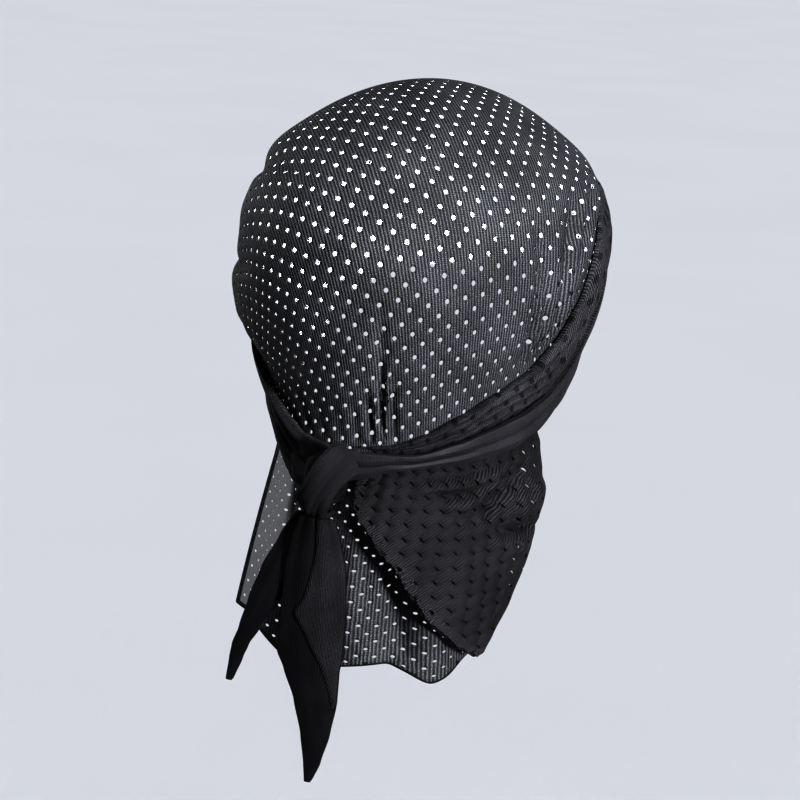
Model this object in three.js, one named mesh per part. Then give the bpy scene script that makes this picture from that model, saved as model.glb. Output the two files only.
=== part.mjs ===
import * as THREE from 'three';

// Bandana cap of pierced knit, tied at the nape. Millimetres, +Z up.
// The face looks along -Y, the wearer's right side is -X.
// The origin is the middle of the cap at the level of the forehead edge.
// A bearing is the angle round the cap in degrees: 0 at the back, + to the wearer's right.

// Inner form of the cap, which the cloth is drawn to
const HEAD_HALF_WIDTH = 76.5;
const HEAD_BACK_REACH = 100;
const HEAD_FRONT_REACH = 97;
const WIDEST_HEIGHT = 22;
const CROWN_RISE = 73;
const CROWN_FULLNESS = 1.95;
const BACK_WIDENING = 0.04;
const NECK_HEIGHT = -80;
const NECK_HALF_WIDTH = 57;
const NECK_HALF_DEPTH = 60;
const NECK_SET_BACK = 14;

// Thickness of each cloth and the play between two plies
const MESH_THICKNESS = 1.2;
const FLAP_THICKNESS = 2.4;
const BAND_THICKNESS = 3.8;
const ROLL_THICKNESS = 4.4;
const TAIL_THICKNESS = 2.2;
const WRAP_THICKNESS = 2.6;
const PLY_GAP = 0.35;
const FACET_PLAY = 0.4;
const SEAT_ON_CROWN = MESH_THICKNESS + PLY_GAP + FACET_PLAY;
const STEEP_CLIMB = 25;

// Number of facets
const HEAD_COLUMNS = 60;
const CROWN_ROWS = 16;
const COLUMN_TURN = 360 / HEAD_COLUMNS;

// Holes of the knit, one for each group of about nine
const HOLE_WIDTH = 4.6;
const HOLE_ROW_START = 3;
const HOLE_ROW_STEP = 2;
const HOLE_CLEARANCE = 4;

// Heights of the edges round the cap: top of the band on the left, top of the roll on the
// right, lower edge of the roll, lower edge of the band on the right and on the left
const EDGE_ROWS = [
  { bearing: 0, leftTop: -60, rollTop: -60, rollLow: -65, bandLow: -77, leftLow: -77 },
  { bearing: 16, leftTop: -57, rollTop: -58.5, rollLow: -63, bandLow: -73, leftLow: -84 },
  { bearing: 24, leftTop: -51, rollTop: -57.5, rollLow: -62, bandLow: -69, leftLow: -83.5 },
  { bearing: 30, leftTop: -45.5, rollTop: -55, rollLow: -61, bandLow: -68, leftLow: -79 },
  { bearing: 36, leftTop: -40, rollTop: -52, rollLow: -59.5, bandLow: -67, leftLow: -72.5 },
  { bearing: 48, leftTop: -30, rollTop: -44, rollLow: -55.5, bandLow: -66, leftLow: -66 },
  { bearing: 60, leftTop: -22, rollTop: -35, rollLow: -50.5, bandLow: -65, leftLow: -63 },
  { bearing: 72, leftTop: -12, rollTop: -27, rollLow: -46, bandLow: -63, leftLow: -62 },
  { bearing: 84, leftTop: 4, rollTop: -14, rollLow: -40, bandLow: -58, leftLow: -61 },
  { bearing: 93, leftTop: 20, rollTop: 2, rollLow: -31, bandLow: -50, leftLow: -57 },
  { bearing: 102, leftTop: 36, rollTop: 25, rollLow: -18, bandLow: -49, leftLow: -46 },
  { bearing: 110, leftTop: 43, rollTop: 36, rollLow: -2, bandLow: -47, leftLow: -35 },
  { bearing: 117, leftTop: 49, rollTop: 44, rollLow: 14, bandLow: -42, leftLow: -24 },
  { bearing: 126, leftTop: 52, rollTop: 49, rollLow: 28, bandLow: -28, leftLow: -15 },
  { bearing: 135, leftTop: 54, rollTop: 53, rollLow: 40, bandLow: -13, leftLow: -8 },
  { bearing: 180, leftTop: 58, rollTop: 58, rollLow: 50, bandLow: 0, leftLow: 0 },
];
const SWELL_START = 4;
const CROWN_TUCK = 2;
const FRONT_TUCK = 6;

// The roll runs over the right half only and thins to both ends
const ROLL_START = 12;
const ROLL_END = 168;
const ROLL_TAPER = 24;
const ROLL_END_SHARE = 0.3;

// Puffs of the crown: place, size and how far they stand out
const PUFF_ROWS = [
  { bearing: -62, height: 62, wide: 26, tall: 9, out: 2.5 },
  { bearing: -62, height: 42, wide: 24, tall: 12, out: 1.0 },
  { bearing: -61, height: 4, wide: 16, tall: 10, out: 4.0 },
  { bearing: -61, height: -22, wide: 16, tall: 15, out: 7.5 },
  { bearing: 108, height: 54, wide: 22, tall: 12, out: 5.5 },
  { bearing: 76, height: 8, wide: 11, tall: 24, out: 2.0 },
];

// Gathers that rise from the band: middle, half spread, top, depth and folds in the spread
const GATHER_ROWS = [
  { bearing: 66, spread: 24, top: 52, out: 1.8 },
  { bearing: 6, spread: 24, top: 2, out: 1.5 },
  { bearing: -42, spread: 18, top: 10, out: 1.2 },
];

// Nape curtain, one row for each fold line: bearings above and at the hem, how far the hem
// stands off the nape, how far down it hangs, and the swell half way
const CURTAIN_DROP = 162;
const CURTAIN_FLARE = 22;
const CURTAIN_TUCK = 7;
const CURTAIN_ROWS = [
  { bearing: -50, hem: -46, flare: 0.9, drop: 0.914, belly: 0.03 },
  { bearing: -41, hem: -39, flare: 0.72, drop: 0.92, belly: -0.05 },
  { bearing: -32, hem: -32, flare: 0.7, drop: 0.935, belly: 0.0 },
  { bearing: -18, hem: -16, flare: 0.58, drop: 0.99, belly: -0.04 },
  { bearing: -4, hem: -5, flare: 0.46, drop: 1.0, belly: 0.02 },
  { bearing: 10, hem: 8, flare: 0.44, drop: 0.988, belly: 0.05 },
  { bearing: 19, hem: 18, flare: 0.52, drop: 0.972, belly: 0.05 },
  { bearing: 28, hem: 27, flare: 0.42, drop: 0.97, belly: -0.04 },
  { bearing: 38, hem: 38, flare: 0.76, drop: 1.0, belly: 0.02 },
  { bearing: 48, hem: 48, flare: 0.66, drop: 0.995, belly: 0.04 },
  { bearing: 60, hem: 58, flare: 0.42, drop: 0.95, belly: 0.0 },
  { bearing: 76, hem: 70, flare: 0.36, drop: 0.885, belly: 0.0 },
];
const CURTAIN_LEVELS = [1, 0.88, 0.74, 0.6, 0.46, 0.32, 0.18, 0.09, 0];

// Folded flap, one row for each level: its ends and how far they stand off the nape
const FLAP_DROP = 151;
const FLAP_STAND = 20;
const FLAP_TUCK = 5;
const FLAP_ROWS = [
  { drop: 1.0, left: 53.5, right: 57.5, leftStand: 0.97, rightStand: 0.81 },
  { drop: 0.955, left: 46.5, right: 61.5, leftStand: 1.0, rightStand: 0.71 },
  { drop: 0.865, left: 37, right: 69, leftStand: 0.96, rightStand: 0.61 },
  { drop: 0.75, left: 29, right: 77, leftStand: 0.8, rightStand: 0.53 },
  { drop: 0.645, left: 19.5, right: 84, leftStand: 0.65, rightStand: 0.43 },
  { drop: 0.575, left: 13, right: 88.5, leftStand: 0.48, rightStand: 0.33 },
  { drop: 0.52, left: 11, right: 89.5, leftStand: 0.36, rightStand: 0.23 },
  { drop: 0.47, left: 10.5, right: 89, leftStand: 0.24, rightStand: 0.1 },
  { drop: 0.43, left: 10.5, right: 87, leftStand: 0.1, rightStand: 0 },
  { drop: 0.395, left: 11, right: 86, leftStand: 0, rightStand: 0 },
];
const FLAP_COLUMNS = 14;

// Dents and drapes of the flap: place, size and how far they stand out
const DENT_ROWS = [
  { bearing: 84, height: -87, wide: 6, tall: 8, out: 2.4 },
  { bearing: 70, height: -88, wide: 5, tall: 10, out: -2.4 },
  { bearing: 80, height: -73, wide: 9, tall: 4, out: -1.6 },
  { bearing: 80, height: -103, wide: 10, tall: 4, out: -2.2 },
  { bearing: 46, height: -78, wide: 22, tall: 3, out: 1.6 },
  { bearing: 44, height: -110, wide: 14, tall: 16, out: 1.8 },
];

// Knot at the nape
const KNOT_BEARING = 3.2;
const KNOT_HEIGHT = -71;
const KNOT_HALF_WIDTH = 10.5;
const KNOT_HALF_DEPTH = 10.5;
const KNOT_HALF_HEIGHT = 13;
const KNOT_TURNS = 18;
const KNOT_RINGS = 12;
const KNOT_TILT = -58;
const KNOT_LUMP = 0.05;
const WRAP_HALF_RING = 45;
const WRAP_START = -20;
const WRAP_END = 200;

// Tails: centre line and width at each level as shares of length and width
const TAIL_TWIST = 17;
const LONG_LENGTH = 121;
const LONG_WIDTH = 28;
const LONG_CUP = 3.2;
const LONG_SET_OUT = 2.5;
const LONG_ROWS = [
  { along: 1.0, side: -0.017, back: 0.055, width: 0.05 },
  { along: 0.93, side: -0.025, back: 0.048, width: 0.2 },
  { along: 0.82, side: -0.029, back: 0.042, width: 0.4 },
  { along: 0.69, side: -0.02, back: 0.036, width: 0.64 },
  { along: 0.58, side: 0.004, back: 0.034, width: 0.84 },
  { along: 0.52, side: 0.016, back: 0.032, width: 1.0 },
  { along: 0.38, side: 0.013, back: 0.024, width: 1.0 },
  { along: 0.2, side: 0.013, back: 0.018, width: 0.93 },
  { along: 0.08, side: 0.019, back: 0.01, width: 0.72 },
  { along: 0, side: 0.024, back: 0.0, width: 0.5 },
];
const SHORT_LENGTH = 82;
const SHORT_WIDTH = 16;
const SHORT_CUP = 2.0;
const SHORT_SET_OUT = -2.4;
const SHORT_ROWS = [
  { along: 1.0, side: 0.483, back: 0.13, width: 0.08 },
  { along: 0.87, side: 0.451, back: 0.125, width: 0.25 },
  { along: 0.79, side: 0.428, back: 0.125, width: 0.34 },
  { along: 0.68, side: 0.376, back: 0.12, width: 0.47 },
  { along: 0.5, side: 0.294, back: 0.11, width: 0.78 },
  { along: 0.33, side: 0.22, back: 0.085, width: 0.96 },
  { along: 0.15, side: 0.139, back: 0.04, width: 0.98 },
  { along: 0, side: 0.101, back: 0.0, width: 0.62 },
];
const TAIL_COLUMNS = 6;
const TAIL_PLEAT = 0.8;

// Colours
const KNIT_BLACK = 0x17171a;
const SMOOTH_BLACK = 0x101012;
const ROLL_BLACK = 0x141416;

// Curves

function radians(degrees) {
  return degrees * Math.PI / 180;
}

function smooth(share) {
  const t = Math.min(Math.max(share, 0), 1);
  return t * t * (3 - 2 * t);
}

function mix(a, b, share) {
  return a + (b - a) * share;
}

function bell(distance, width) {
  return Math.exp(-0.5 * (distance / width) ** 2);
}

// Value of a table's column at a place, with rounded steps between its rows
function readTable(rows, key, column, place) {
  const rising = rows[0][key] < rows[rows.length - 1][key];
  const sorted = rising ? rows : [...rows].reverse();
  let last = 1;
  while (last < sorted.length - 1 && sorted[last][key] < place) {
    last += 1;
  }
  const low = sorted[last - 1];
  const high = sorted[last];
  const share = (place - low[key]) / (high[key] - low[key]);
  const t = Math.min(Math.max(share, 0), 1);
  return mix(low[column], high[column], mix(t, smooth(t), 0.35));
}

function wrapped(bearing) {
  return ((bearing + 540) % 360) - 180;
}

function edge(column, bearing) {
  return readTable(EDGE_ROWS, 'bearing', column, Math.abs(wrapped(bearing)));
}

// Point on the inner form at a bearing and a height, moved out by a lift
function headPoint(bearing, height, lift) {
  const angle = radians(bearing);
  const toNeck = smooth((WIDEST_HEIGHT - height) / (WIDEST_HEIGHT - NECK_HEIGHT));
  const facing = Math.cos(angle);
  const reach = facing > 0 ? HEAD_BACK_REACH : HEAD_FRONT_REACH;
  const neckReach = NECK_HALF_DEPTH + Math.sign(facing) * NECK_SET_BACK;
  const widening = 1 + BACK_WIDENING * facing;
  const halfWidth = mix(HEAD_HALF_WIDTH * widening, NECK_HALF_WIDTH, toNeck) + lift;
  const halfDepth = mix(reach, neckReach, toNeck) + lift;
  const up = Math.min(Math.max((height - WIDEST_HEIGHT) / CROWN_RISE, 0), 1);
  const girth = (1 - up ** CROWN_FULLNESS) ** (1 / CROWN_FULLNESS);
  return new THREE.Vector3(
    -halfWidth * Math.sin(angle) * girth,
    halfDepth * facing * girth,
    height + lift * up,
  );
}

// Point at a bearing, a reach and a height round the upright line at the nape
function napePoint(bearing, reach, height) {
  const angle = radians(bearing);
  return new THREE.Vector3(
    -reach * Math.sin(angle),
    NECK_SET_BACK + reach * Math.cos(angle),
    height,
  );
}

// Reach of the inner form from the nape's upright line, at a height below the crown
function napeReach(bearing, height, lift) {
  const point = headPoint(bearing, height, lift);
  return Math.hypot(point.x, point.y - NECK_SET_BACK);
}

// Heights of the shared edges

function rollShare(bearing) {
  const place = wrapped(bearing);
  if (place < ROLL_START || place > ROLL_END) {
    return 0;
  }
  const inset = Math.min(place - ROLL_START, ROLL_END - place);
  return mix(ROLL_END_SHARE, 1, smooth(inset / ROLL_TAPER));
}

function rollTop(bearing) {
  return edge(wrapped(bearing) < 0 ? 'leftTop' : 'rollTop', bearing);
}

// Highest edge of the roll within a column to both sides
function rollCrest(bearing) {
  return Math.max(rollTop(bearing - COLUMN_TURN), rollTop(bearing + COLUMN_TURN));
}

function bandTop(bearing) {
  return mix(rollTop(bearing), edge('rollLow', bearing), rollShare(bearing));
}

function bandLow(bearing) {
  return edge(wrapped(bearing) < 0 ? 'leftLow' : 'bandLow', bearing);
}

function crownRim(bearing) {
  const toFront = smooth((Math.abs(wrapped(bearing)) - 28) / 44);
  return edge('rollLow', bearing) - mix(CROWN_TUCK, FRONT_TUCK, toFront);
}

// Lift of a piece laid over the crown, with more play where its edges climb steeply
function crownSeat(bearing) {
  const climb = edge('rollLow', bearing + COLUMN_TURN) - edge('rollLow', bearing - COLUMN_TURN);
  return SEAT_ON_CROWN + FACET_PLAY * Math.min(Math.abs(climb) / STEEP_CLIMB, 2);
}

// Lift of the band's inner face: over the crown alone, or over the flap too
function bandSeat(bearing) {
  const place = wrapped(bearing);
  const overFlap = Math.min(smooth((place + 6) / 12), smooth((124 - place) / 14));
  return crownSeat(bearing) + (FLAP_THICKNESS + PLY_GAP) * overFlap;
}

// Solids from grids of points

class Skin {
  constructor() {
    this.places = [];
    this.corners = [];
  }

  add(point) {
    this.places.push(point.x, point.y, point.z);
    return this.places.length / 3 - 1;
  }

  face(...loop) {
    for (let k = 1; k < loop.length - 1; k += 1) {
      this.corners.push(loop[0], loop[k], loop[k + 1]);
    }
  }

  geometry() {
    const result = new THREE.BufferGeometry();
    result.setAttribute('position', new THREE.Float32BufferAttribute(this.places, 3));
    result.setIndex(this.corners);
    result.computeVertexNormals();
    return result;
  }
}

// Point inside a cell of four corners, at shares across and up
function within(cell, across, up) {
  const low = cell[0].clone().lerp(cell[1], across);
  const high = cell[3].clone().lerp(cell[2], across);
  return low.lerp(high, up);
}

// Six points of a hole in the middle of a cell
function holeLoop(cell) {
  const width = within(cell, 1, 0.5).distanceTo(within(cell, 0, 0.5));
  const tall = within(cell, 0.5, 1).distanceTo(within(cell, 0.5, 0));
  const radius = Math.min(HOLE_WIDTH, width * 0.7, tall * 0.7) / 2;
  const loop = [];
  for (let k = 0; k < 6; k += 1) {
    const angle = radians(300 + 60 * k);
    const across = 0.5 + Math.cos(angle) * radius / width;
    loop.push(within(cell, across, 0.5 + Math.sin(angle) * radius / tall));
  }
  return loop;
}

// Cell with a hole: the cloth between its four corners and the six points
function piercedCell(skin, cell, hole, turned) {
  const [a, b, c, d] = cell;
  const faces = [
    [a, b, hole[0], hole[5]],
    [b, hole[1], hole[0]],
    [b, c, hole[1]],
    [c, hole[2], hole[1]],
    [c, d, hole[3], hole[2]],
    [d, hole[4], hole[3]],
    [d, a, hole[4]],
    [a, hole[5], hole[4]],
  ];
  for (const loop of faces) {
    skin.face(...(turned ? loop.reverse() : loop));
  }
}

// Slab between an outer and an inner grid. Columns run to + bearing and rows run up.
function slab({ columns, rows, outer, inner, ring = false, pole = false, pierced = () => false }) {
  const skin = new Skin();
  const count = ring ? columns : columns + 1;
  const sides = [outer, inner].map((place) => {
    const grid = [];
    for (let j = 0; j <= rows; j += 1) {
      const tip = pole && j === rows;
      const line = [];
      for (let i = 0; i < count; i += 1) {
        const point = place(i, j);
        line.push(tip && i > 0 ? line[0] : { point, index: skin.add(point) });
      }
      grid.push(line);
    }
    return grid;
  });
  const at = (side, i, j) => sides[side][j][ring ? i % columns : i];
  for (let j = 0; j < rows; j += 1) {
    for (let i = 0; i < columns; i += 1) {
      const cells = [0, 1].map((side) => [
        at(side, i, j), at(side, i + 1, j), at(side, i + 1, j + 1), at(side, i, j + 1),
      ]);
      if (pierced(i, j)) {
        const holes = cells.map((cell) => {
          const loop = holeLoop(cell.map((corner) => corner.point));
          return loop.map((point) => skin.add(point));
        });
        cells.forEach((cell, side) => {
          piercedCell(skin, cell.map((corner) => corner.index), holes[side], side === 1);
        });
        for (let k = 0; k < 6; k += 1) {
          const next = (k + 1) % 6;
          skin.face(holes[0][k], holes[0][next], holes[1][next], holes[1][k]);
        }
      } else {
        cells.forEach((cell, side) => {
          const loop = cell.map((corner) => corner.index);
          const trimmed = pole && j === rows - 1 ? loop.slice(0, 3) : loop;
          skin.face(...(side === 1 ? trimmed.reverse() : trimmed));
        });
      }
    }
  }
  const seam = (p, q) => {
    skin.face(at(0, ...p).index, at(1, ...p).index, at(1, ...q).index, at(0, ...q).index);
  };
  for (let i = 0; i < columns; i += 1) {
    seam([i, 0], [i + 1, 0]);
    if (!pole) {
      seam([i + 1, rows], [i, rows]);
    }
  }
  if (!ring) {
    for (let j = 0; j < rows; j += 1) {
      seam([0, j + 1], [0, j]);
      seam([columns, j], [columns, j + 1]);
    }
  }
  return skin.geometry();
}

// Solid through closed loops of points, either joined into a ring or closed at both ends
function loft(loops, ring) {
  const skin = new Skin();
  const lines = loops.map((loop) => loop.map((point) => skin.add(point)));
  const spans = ring ? lines.length : lines.length - 1;
  const size = lines[0].length;
  for (let i = 0; i < spans; i += 1) {
    const here = lines[i];
    const next = lines[(i + 1) % lines.length];
    for (let k = 0; k < size; k += 1) {
      const after = (k + 1) % size;
      skin.face(here[k], here[after], next[after], next[k]);
    }
  }
  if (!ring) {
    skin.face(...[...lines[0]].reverse());
    skin.face(...lines[lines.length - 1]);
  }
  return skin.geometry();
}

// Crown

function swell(bearing, height) {
  let out = 0;
  for (const puff of PUFF_ROWS) {
    const turn = wrapped(bearing - puff.bearing);
    out += puff.out * bell(turn, puff.wide) * bell(height - puff.height, puff.tall);
  }
  const column = Math.round((bearing + 180) / COLUMN_TURN);
  const ridge = column % 2 === 0 ? 1 : 0;
  for (const gather of GATHER_ROWS) {
    const side = smooth(1 - Math.abs(wrapped(bearing - gather.bearing)) / gather.spread);
    const fade = smooth((gather.top - height) / (gather.top - rollTop(bearing)));
    out += gather.out * ridge * Math.sqrt(side) * fade;
  }
  return out * smooth((height - rollCrest(bearing) - SWELL_START) / 14);
}

// Height on the inner form at an arc from the top, in parts of the crown's rise
function arcHeight(arc) {
  const quarter = Math.PI / 2;
  if (arc < quarter) {
    return WIDEST_HEIGHT + CROWN_RISE * Math.cos(arc);
  }
  return WIDEST_HEIGHT - CROWN_RISE * (arc - quarter);
}

function rimArc(bearing) {
  const rim = crownRim(bearing);
  if (rim > WIDEST_HEIGHT) {
    return Math.acos((rim - WIDEST_HEIGHT) / CROWN_RISE);
  }
  return Math.PI / 2 + (WIDEST_HEIGHT - rim) / CROWN_RISE;
}

function crownHeight(column, row) {
  const bearing = column * COLUMN_TURN - 180;
  return arcHeight(rimArc(bearing) * (1 - row / CROWN_ROWS));
}

function crownPoint(column, row, lift) {
  const bearing = column * COLUMN_TURN - 180;
  const height = crownHeight(column, row);
  return headPoint(bearing, height, lift + swell(bearing, height));
}

// Holes stand in every second row, closer together in the wide rows, and stop short of the roll
function crownPierced(column, row) {
  const fromTop = CROWN_ROWS - 1 - row;
  const level = (fromTop - HOLE_ROW_START) / HOLE_ROW_STEP;
  if (level < 0 || !Number.isInteger(level)) {
    return false;
  }
  const pitch = level === 0 ? 6 : level === 1 ? 4 : 3;
  const shift = level % 2 === 0 ? 0 : Math.floor(pitch / 2);
  const clear = crownHeight(column, row) > rollTop(column * COLUMN_TURN - 180) + HOLE_CLEARANCE;
  return clear && (column + shift) % pitch === 0;
}

function crown() {
  return slab({
    columns: HEAD_COLUMNS,
    rows: CROWN_ROWS,
    ring: true,
    pole: true,
    outer: (i, j) => crownPoint(i, j, MESH_THICKNESS),
    inner: (i, j) => crownPoint(i, j, 0),
    pierced: crownPierced,
  });
}

// Headband: two long swells with a crease between them

const BAND_INNER_STEPS = 6;
const BAND_OUTER = [
  { up: 1, out: 0.5 },
  { up: 0.82, out: 0.95 },
  { up: 0.58, out: 0.9 },
  { up: 0.48, out: 0.55 },
  { up: 0.25, out: 1 },
  { up: 0, out: 0.5 },
];

function headband() {
  const loops = [];
  for (let i = 0; i < HEAD_COLUMNS; i += 1) {
    const bearing = i * COLUMN_TURN - 180;
    const low = bandLow(bearing);
    const top = bandTop(bearing) - PLY_GAP;
    const seat = bandSeat(bearing);
    const loop = [];
    for (let k = 0; k <= BAND_INNER_STEPS; k += 1) {
      loop.push(headPoint(bearing, mix(low, top, k / BAND_INNER_STEPS), seat));
    }
    for (const row of BAND_OUTER) {
      loop.push(headPoint(bearing, mix(low, top, row.up), seat + BAND_THICKNESS * row.out));
    }
    loops.push(loop);
  }
  return loft(loops, true);
}

// Roll of gathered knit above the band on the right half

const ROLL_SECTION = [
  { up: 0, out: 0 },
  { up: 0.25, out: 0 },
  { up: 0.5, out: 0 },
  { up: 0.75, out: 0 },
  { up: 1, out: 0 },
  { up: 1, out: 0.3 },
  { up: 0.82, out: 0.85 },
  { up: 0.5, out: 1 },
  { up: 0.15, out: 0.85 },
  { up: 0, out: 0.45 },
];

function gatherRoll() {
  const loops = [];
  for (let bearing = ROLL_START; bearing <= ROLL_END; bearing += COLUMN_TURN) {
    const low = bandTop(bearing) + PLY_GAP * 2;
    const high = rollTop(bearing);
    const full = ROLL_THICKNESS * mix(0.45, 1, rollShare(bearing));
    const twist = 1 + 0.12 * Math.cos(radians(bearing * 30));
    loops.push(ROLL_SECTION.map((row) => (
      headPoint(bearing, mix(low, high, row.up), crownSeat(bearing) + full * row.out * twist)
    )));
  }
  return loft(loops, false);
}

// Nape curtain

function curtainTop(bearing) {
  return Math.min(crownRim(bearing) - PLY_GAP * 2, bandLow(bearing) + CURTAIN_TUCK);
}

// Lift of the curtain off the nape at a bearing and a height
function curtainLift(bearing, height) {
  const free = bandLow(bearing) - PLY_GAP;
  const hem = -CURTAIN_DROP * readTable(CURTAIN_ROWS, 'bearing', 'drop', bearing);
  const fall = Math.min(Math.max((free - height) / (free - hem), 0), 1);
  const flare = readTable(CURTAIN_ROWS, 'bearing', 'flare', bearing);
  const belly = readTable(CURTAIN_ROWS, 'bearing', 'belly', bearing);
  return CURTAIN_FLARE * (flare * fall + belly * 4 * fall * (1 - fall));
}

function napeCurtain() {
  const place = (i, j, thickness) => {
    const row = CURTAIN_ROWS[i];
    const height = mix(curtainTop(row.bearing), -CURTAIN_DROP * row.drop, CURTAIN_LEVELS[j]);
    const bearing = mix(row.bearing, row.hem, CURTAIN_LEVELS[j]);
    return headPoint(bearing, height, curtainLift(row.bearing, height) + thickness);
  };
  return slab({
    columns: CURTAIN_ROWS.length - 1,
    rows: CURTAIN_LEVELS.length - 1,
    outer: (i, j) => place(i, j, MESH_THICKNESS),
    inner: (i, j) => place(i, j, 0),
    pierced: (i, j) => (i < 2 || (i > 4 && i < 9)) && j < 5 && (i + j) % 2 === 0,
  });
}

// Folded flap over the right side of the curtain

function dent(bearing, height) {
  let out = 0;
  for (const row of DENT_ROWS) {
    out += row.out * bell(bearing - row.bearing, row.wide) * bell(height - row.height, row.tall);
  }
  return out;
}

function foldedFlap() {
  const first = FLAP_ROWS[FLAP_ROWS.length - 1].drop;
  const place = (i, j, thickness) => {
    const row = FLAP_ROWS[j];
    const across = i / FLAP_COLUMNS;
    const bearing = mix(row.left, row.right, across);
    const top = Math.min(edge('rollLow', bearing) - PLY_GAP * 5, bandLow(bearing) + FLAP_TUCK);
    const level = -FLAP_DROP * row.drop;
    const lowered = top - FLAP_DROP * (row.drop - first);
    const height = mix(level, lowered, bell(row.drop - first, 0.07));
    const clear = curtainLift(bearing, height) + SEAT_ON_CROWN;
    const drape = dent(bearing, height) * smooth((bandLow(bearing) - 2 - height) / 6);
    const free = smooth((bandLow(bearing) - height) / 10);
    const stand = FLAP_STAND * mix(row.leftStand, row.rightStand, across) * free + drape;
    return headPoint(bearing, height, Math.max(SEAT_ON_CROWN + stand, clear) + thickness);
  };
  return slab({
    columns: FLAP_COLUMNS,
    rows: FLAP_ROWS.length - 1,
    outer: (i, j) => place(i, j, FLAP_THICKNESS),
    inner: (i, j) => place(i, j, 0),
  });
}

// Knot: a lumpy core and the ply that crosses over it

const KNOT_BACKING = napeReach(KNOT_BEARING, KNOT_HEIGHT, bandSeat(KNOT_BEARING) + BAND_THICKNESS);
const KNOT_CENTRE = napePoint(
  KNOT_BEARING,
  KNOT_BACKING + PLY_GAP + KNOT_HALF_DEPTH * (1 + KNOT_LUMP),
  KNOT_HEIGHT,
);

// Point on the knot; the turn runs round the tilted line of the crossing ply
function knotPoint(turn, ring, lift) {
  const angle = radians(turn);
  const tilt = radians(KNOT_TILT);
  const girth = Math.cos(radians(ring));
  const across = girth * Math.cos(angle);
  const along = Math.sin(radians(ring));
  const lump = 1 + KNOT_LUMP * Math.sin(angle * 3 + along * 2);
  const side = across * Math.cos(tilt) - along * Math.sin(tilt);
  const up = across * Math.sin(tilt) + along * Math.cos(tilt);
  return new THREE.Vector3(
    KNOT_CENTRE.x + (KNOT_HALF_WIDTH * lump + lift) * side,
    KNOT_CENTRE.y + (KNOT_HALF_DEPTH * lump + lift) * girth * Math.sin(angle),
    KNOT_CENTRE.z + (KNOT_HALF_HEIGHT * lump + lift) * up,
  );
}

function knotCore() {
  const skin = new Skin();
  const step = 180 / KNOT_RINGS;
  const lines = [];
  for (let j = 1; j < KNOT_RINGS; j += 1) {
    const line = [];
    for (let i = 0; i < KNOT_TURNS; i += 1) {
      line.push(skin.add(knotPoint(i * 360 / KNOT_TURNS, j * step - 90, 0)));
    }
    lines.push(line);
  }
  const low = skin.add(knotPoint(0, -90, 0));
  const high = skin.add(knotPoint(0, 90, 0));
  for (let i = 0; i < KNOT_TURNS; i += 1) {
    const next = (i + 1) % KNOT_TURNS;
    skin.face(low, lines[0][next], lines[0][i]);
    skin.face(high, lines[KNOT_RINGS - 2][i], lines[KNOT_RINGS - 2][next]);
    for (let j = 0; j < KNOT_RINGS - 2; j += 1) {
      skin.face(lines[j][i], lines[j][next], lines[j + 1][next], lines[j + 1][i]);
    }
  }
  return skin.geometry();
}

function knotWrap() {
  const turnStep = 360 / KNOT_TURNS;
  const ringStep = 180 / KNOT_RINGS;
  const place = (i, j, lift) => (
    knotPoint(WRAP_START + i * turnStep, j * ringStep - WRAP_HALF_RING, PLY_GAP + lift)
  );
  return slab({
    columns: Math.round((WRAP_END - WRAP_START) / turnStep),
    rows: Math.round(2 * WRAP_HALF_RING / ringStep),
    outer: (i, j) => place(i, j, WRAP_THICKNESS),
    inner: (i, j) => place(i, j, 0),
  });
}

// Tails

const KNOT_FOOT = KNOT_HALF_HEIGHT * (1 + KNOT_LUMP) + WRAP_THICKNESS;
const TAIL_TOP = KNOT_HEIGHT - KNOT_FOOT - PLY_GAP * 3;

function tail(rows, length, width, cup, setOut) {
  const twist = radians(TAIL_TWIST);
  const place = (i, j, lift) => {
    const row = rows[j];
    const share = 2 * i / TAIL_COLUMNS - 1;
    const spread = share * width * row.width / 2;
    const pleat = TAIL_PLEAT * (i % 2) * (1 - row.along) ** 2;
    const out = setOut + lift + pleat - cup * row.width * share ** 2;
    return new THREE.Vector3(
      KNOT_CENTRE.x + length * row.side - spread * Math.cos(twist) - out * Math.sin(twist),
      KNOT_CENTRE.y + length * row.back - spread * Math.sin(twist) + out * Math.cos(twist),
      TAIL_TOP - length * row.along,
    );
  };
  return slab({
    columns: TAIL_COLUMNS,
    rows: rows.length - 1,
    outer: (i, j) => place(i, j, TAIL_THICKNESS / 2),
    inner: (i, j) => place(i, j, -TAIL_THICKNESS / 2),
  });
}

// Assembly

const group = new THREE.Group();
group.name = 'bandana_cap';

function addPiece(name, geometry, color, roughness) {
  const material = new THREE.MeshStandardMaterial({ color, roughness, metalness: 0 });
  const piece = new THREE.Mesh(geometry, material);
  piece.name = name;
  group.add(piece);
}

addPiece('crown', crown(), KNIT_BLACK, 0.72);
addPiece('gather_roll', gatherRoll(), ROLL_BLACK, 0.75);
addPiece('headband', headband(), SMOOTH_BLACK, 0.62);
addPiece('nape_curtain', napeCurtain(), KNIT_BLACK, 0.72);
addPiece('folded_flap', foldedFlap(), KNIT_BLACK, 0.72);
addPiece('knot_core', knotCore(), SMOOTH_BLACK, 0.65);
addPiece('knot_wrap', knotWrap(), ROLL_BLACK, 0.75);
const longTail = tail(LONG_ROWS, LONG_LENGTH, LONG_WIDTH, LONG_CUP, LONG_SET_OUT);
addPiece('tail_long', longTail, SMOOTH_BLACK, 0.62);
const shortTail = tail(SHORT_ROWS, SHORT_LENGTH, SHORT_WIDTH, SHORT_CUP, SHORT_SET_OUT);
addPiece('tail_short', shortTail, SMOOTH_BLACK, 0.62);

export default group;
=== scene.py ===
"""Bandana cap of pierced black knit: crown, headband, nape curtain, flap, knot and two tails."""

import logging
import math
from dataclasses import dataclass, field
from enum import Enum
from typing import Callable, Sequence

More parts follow.
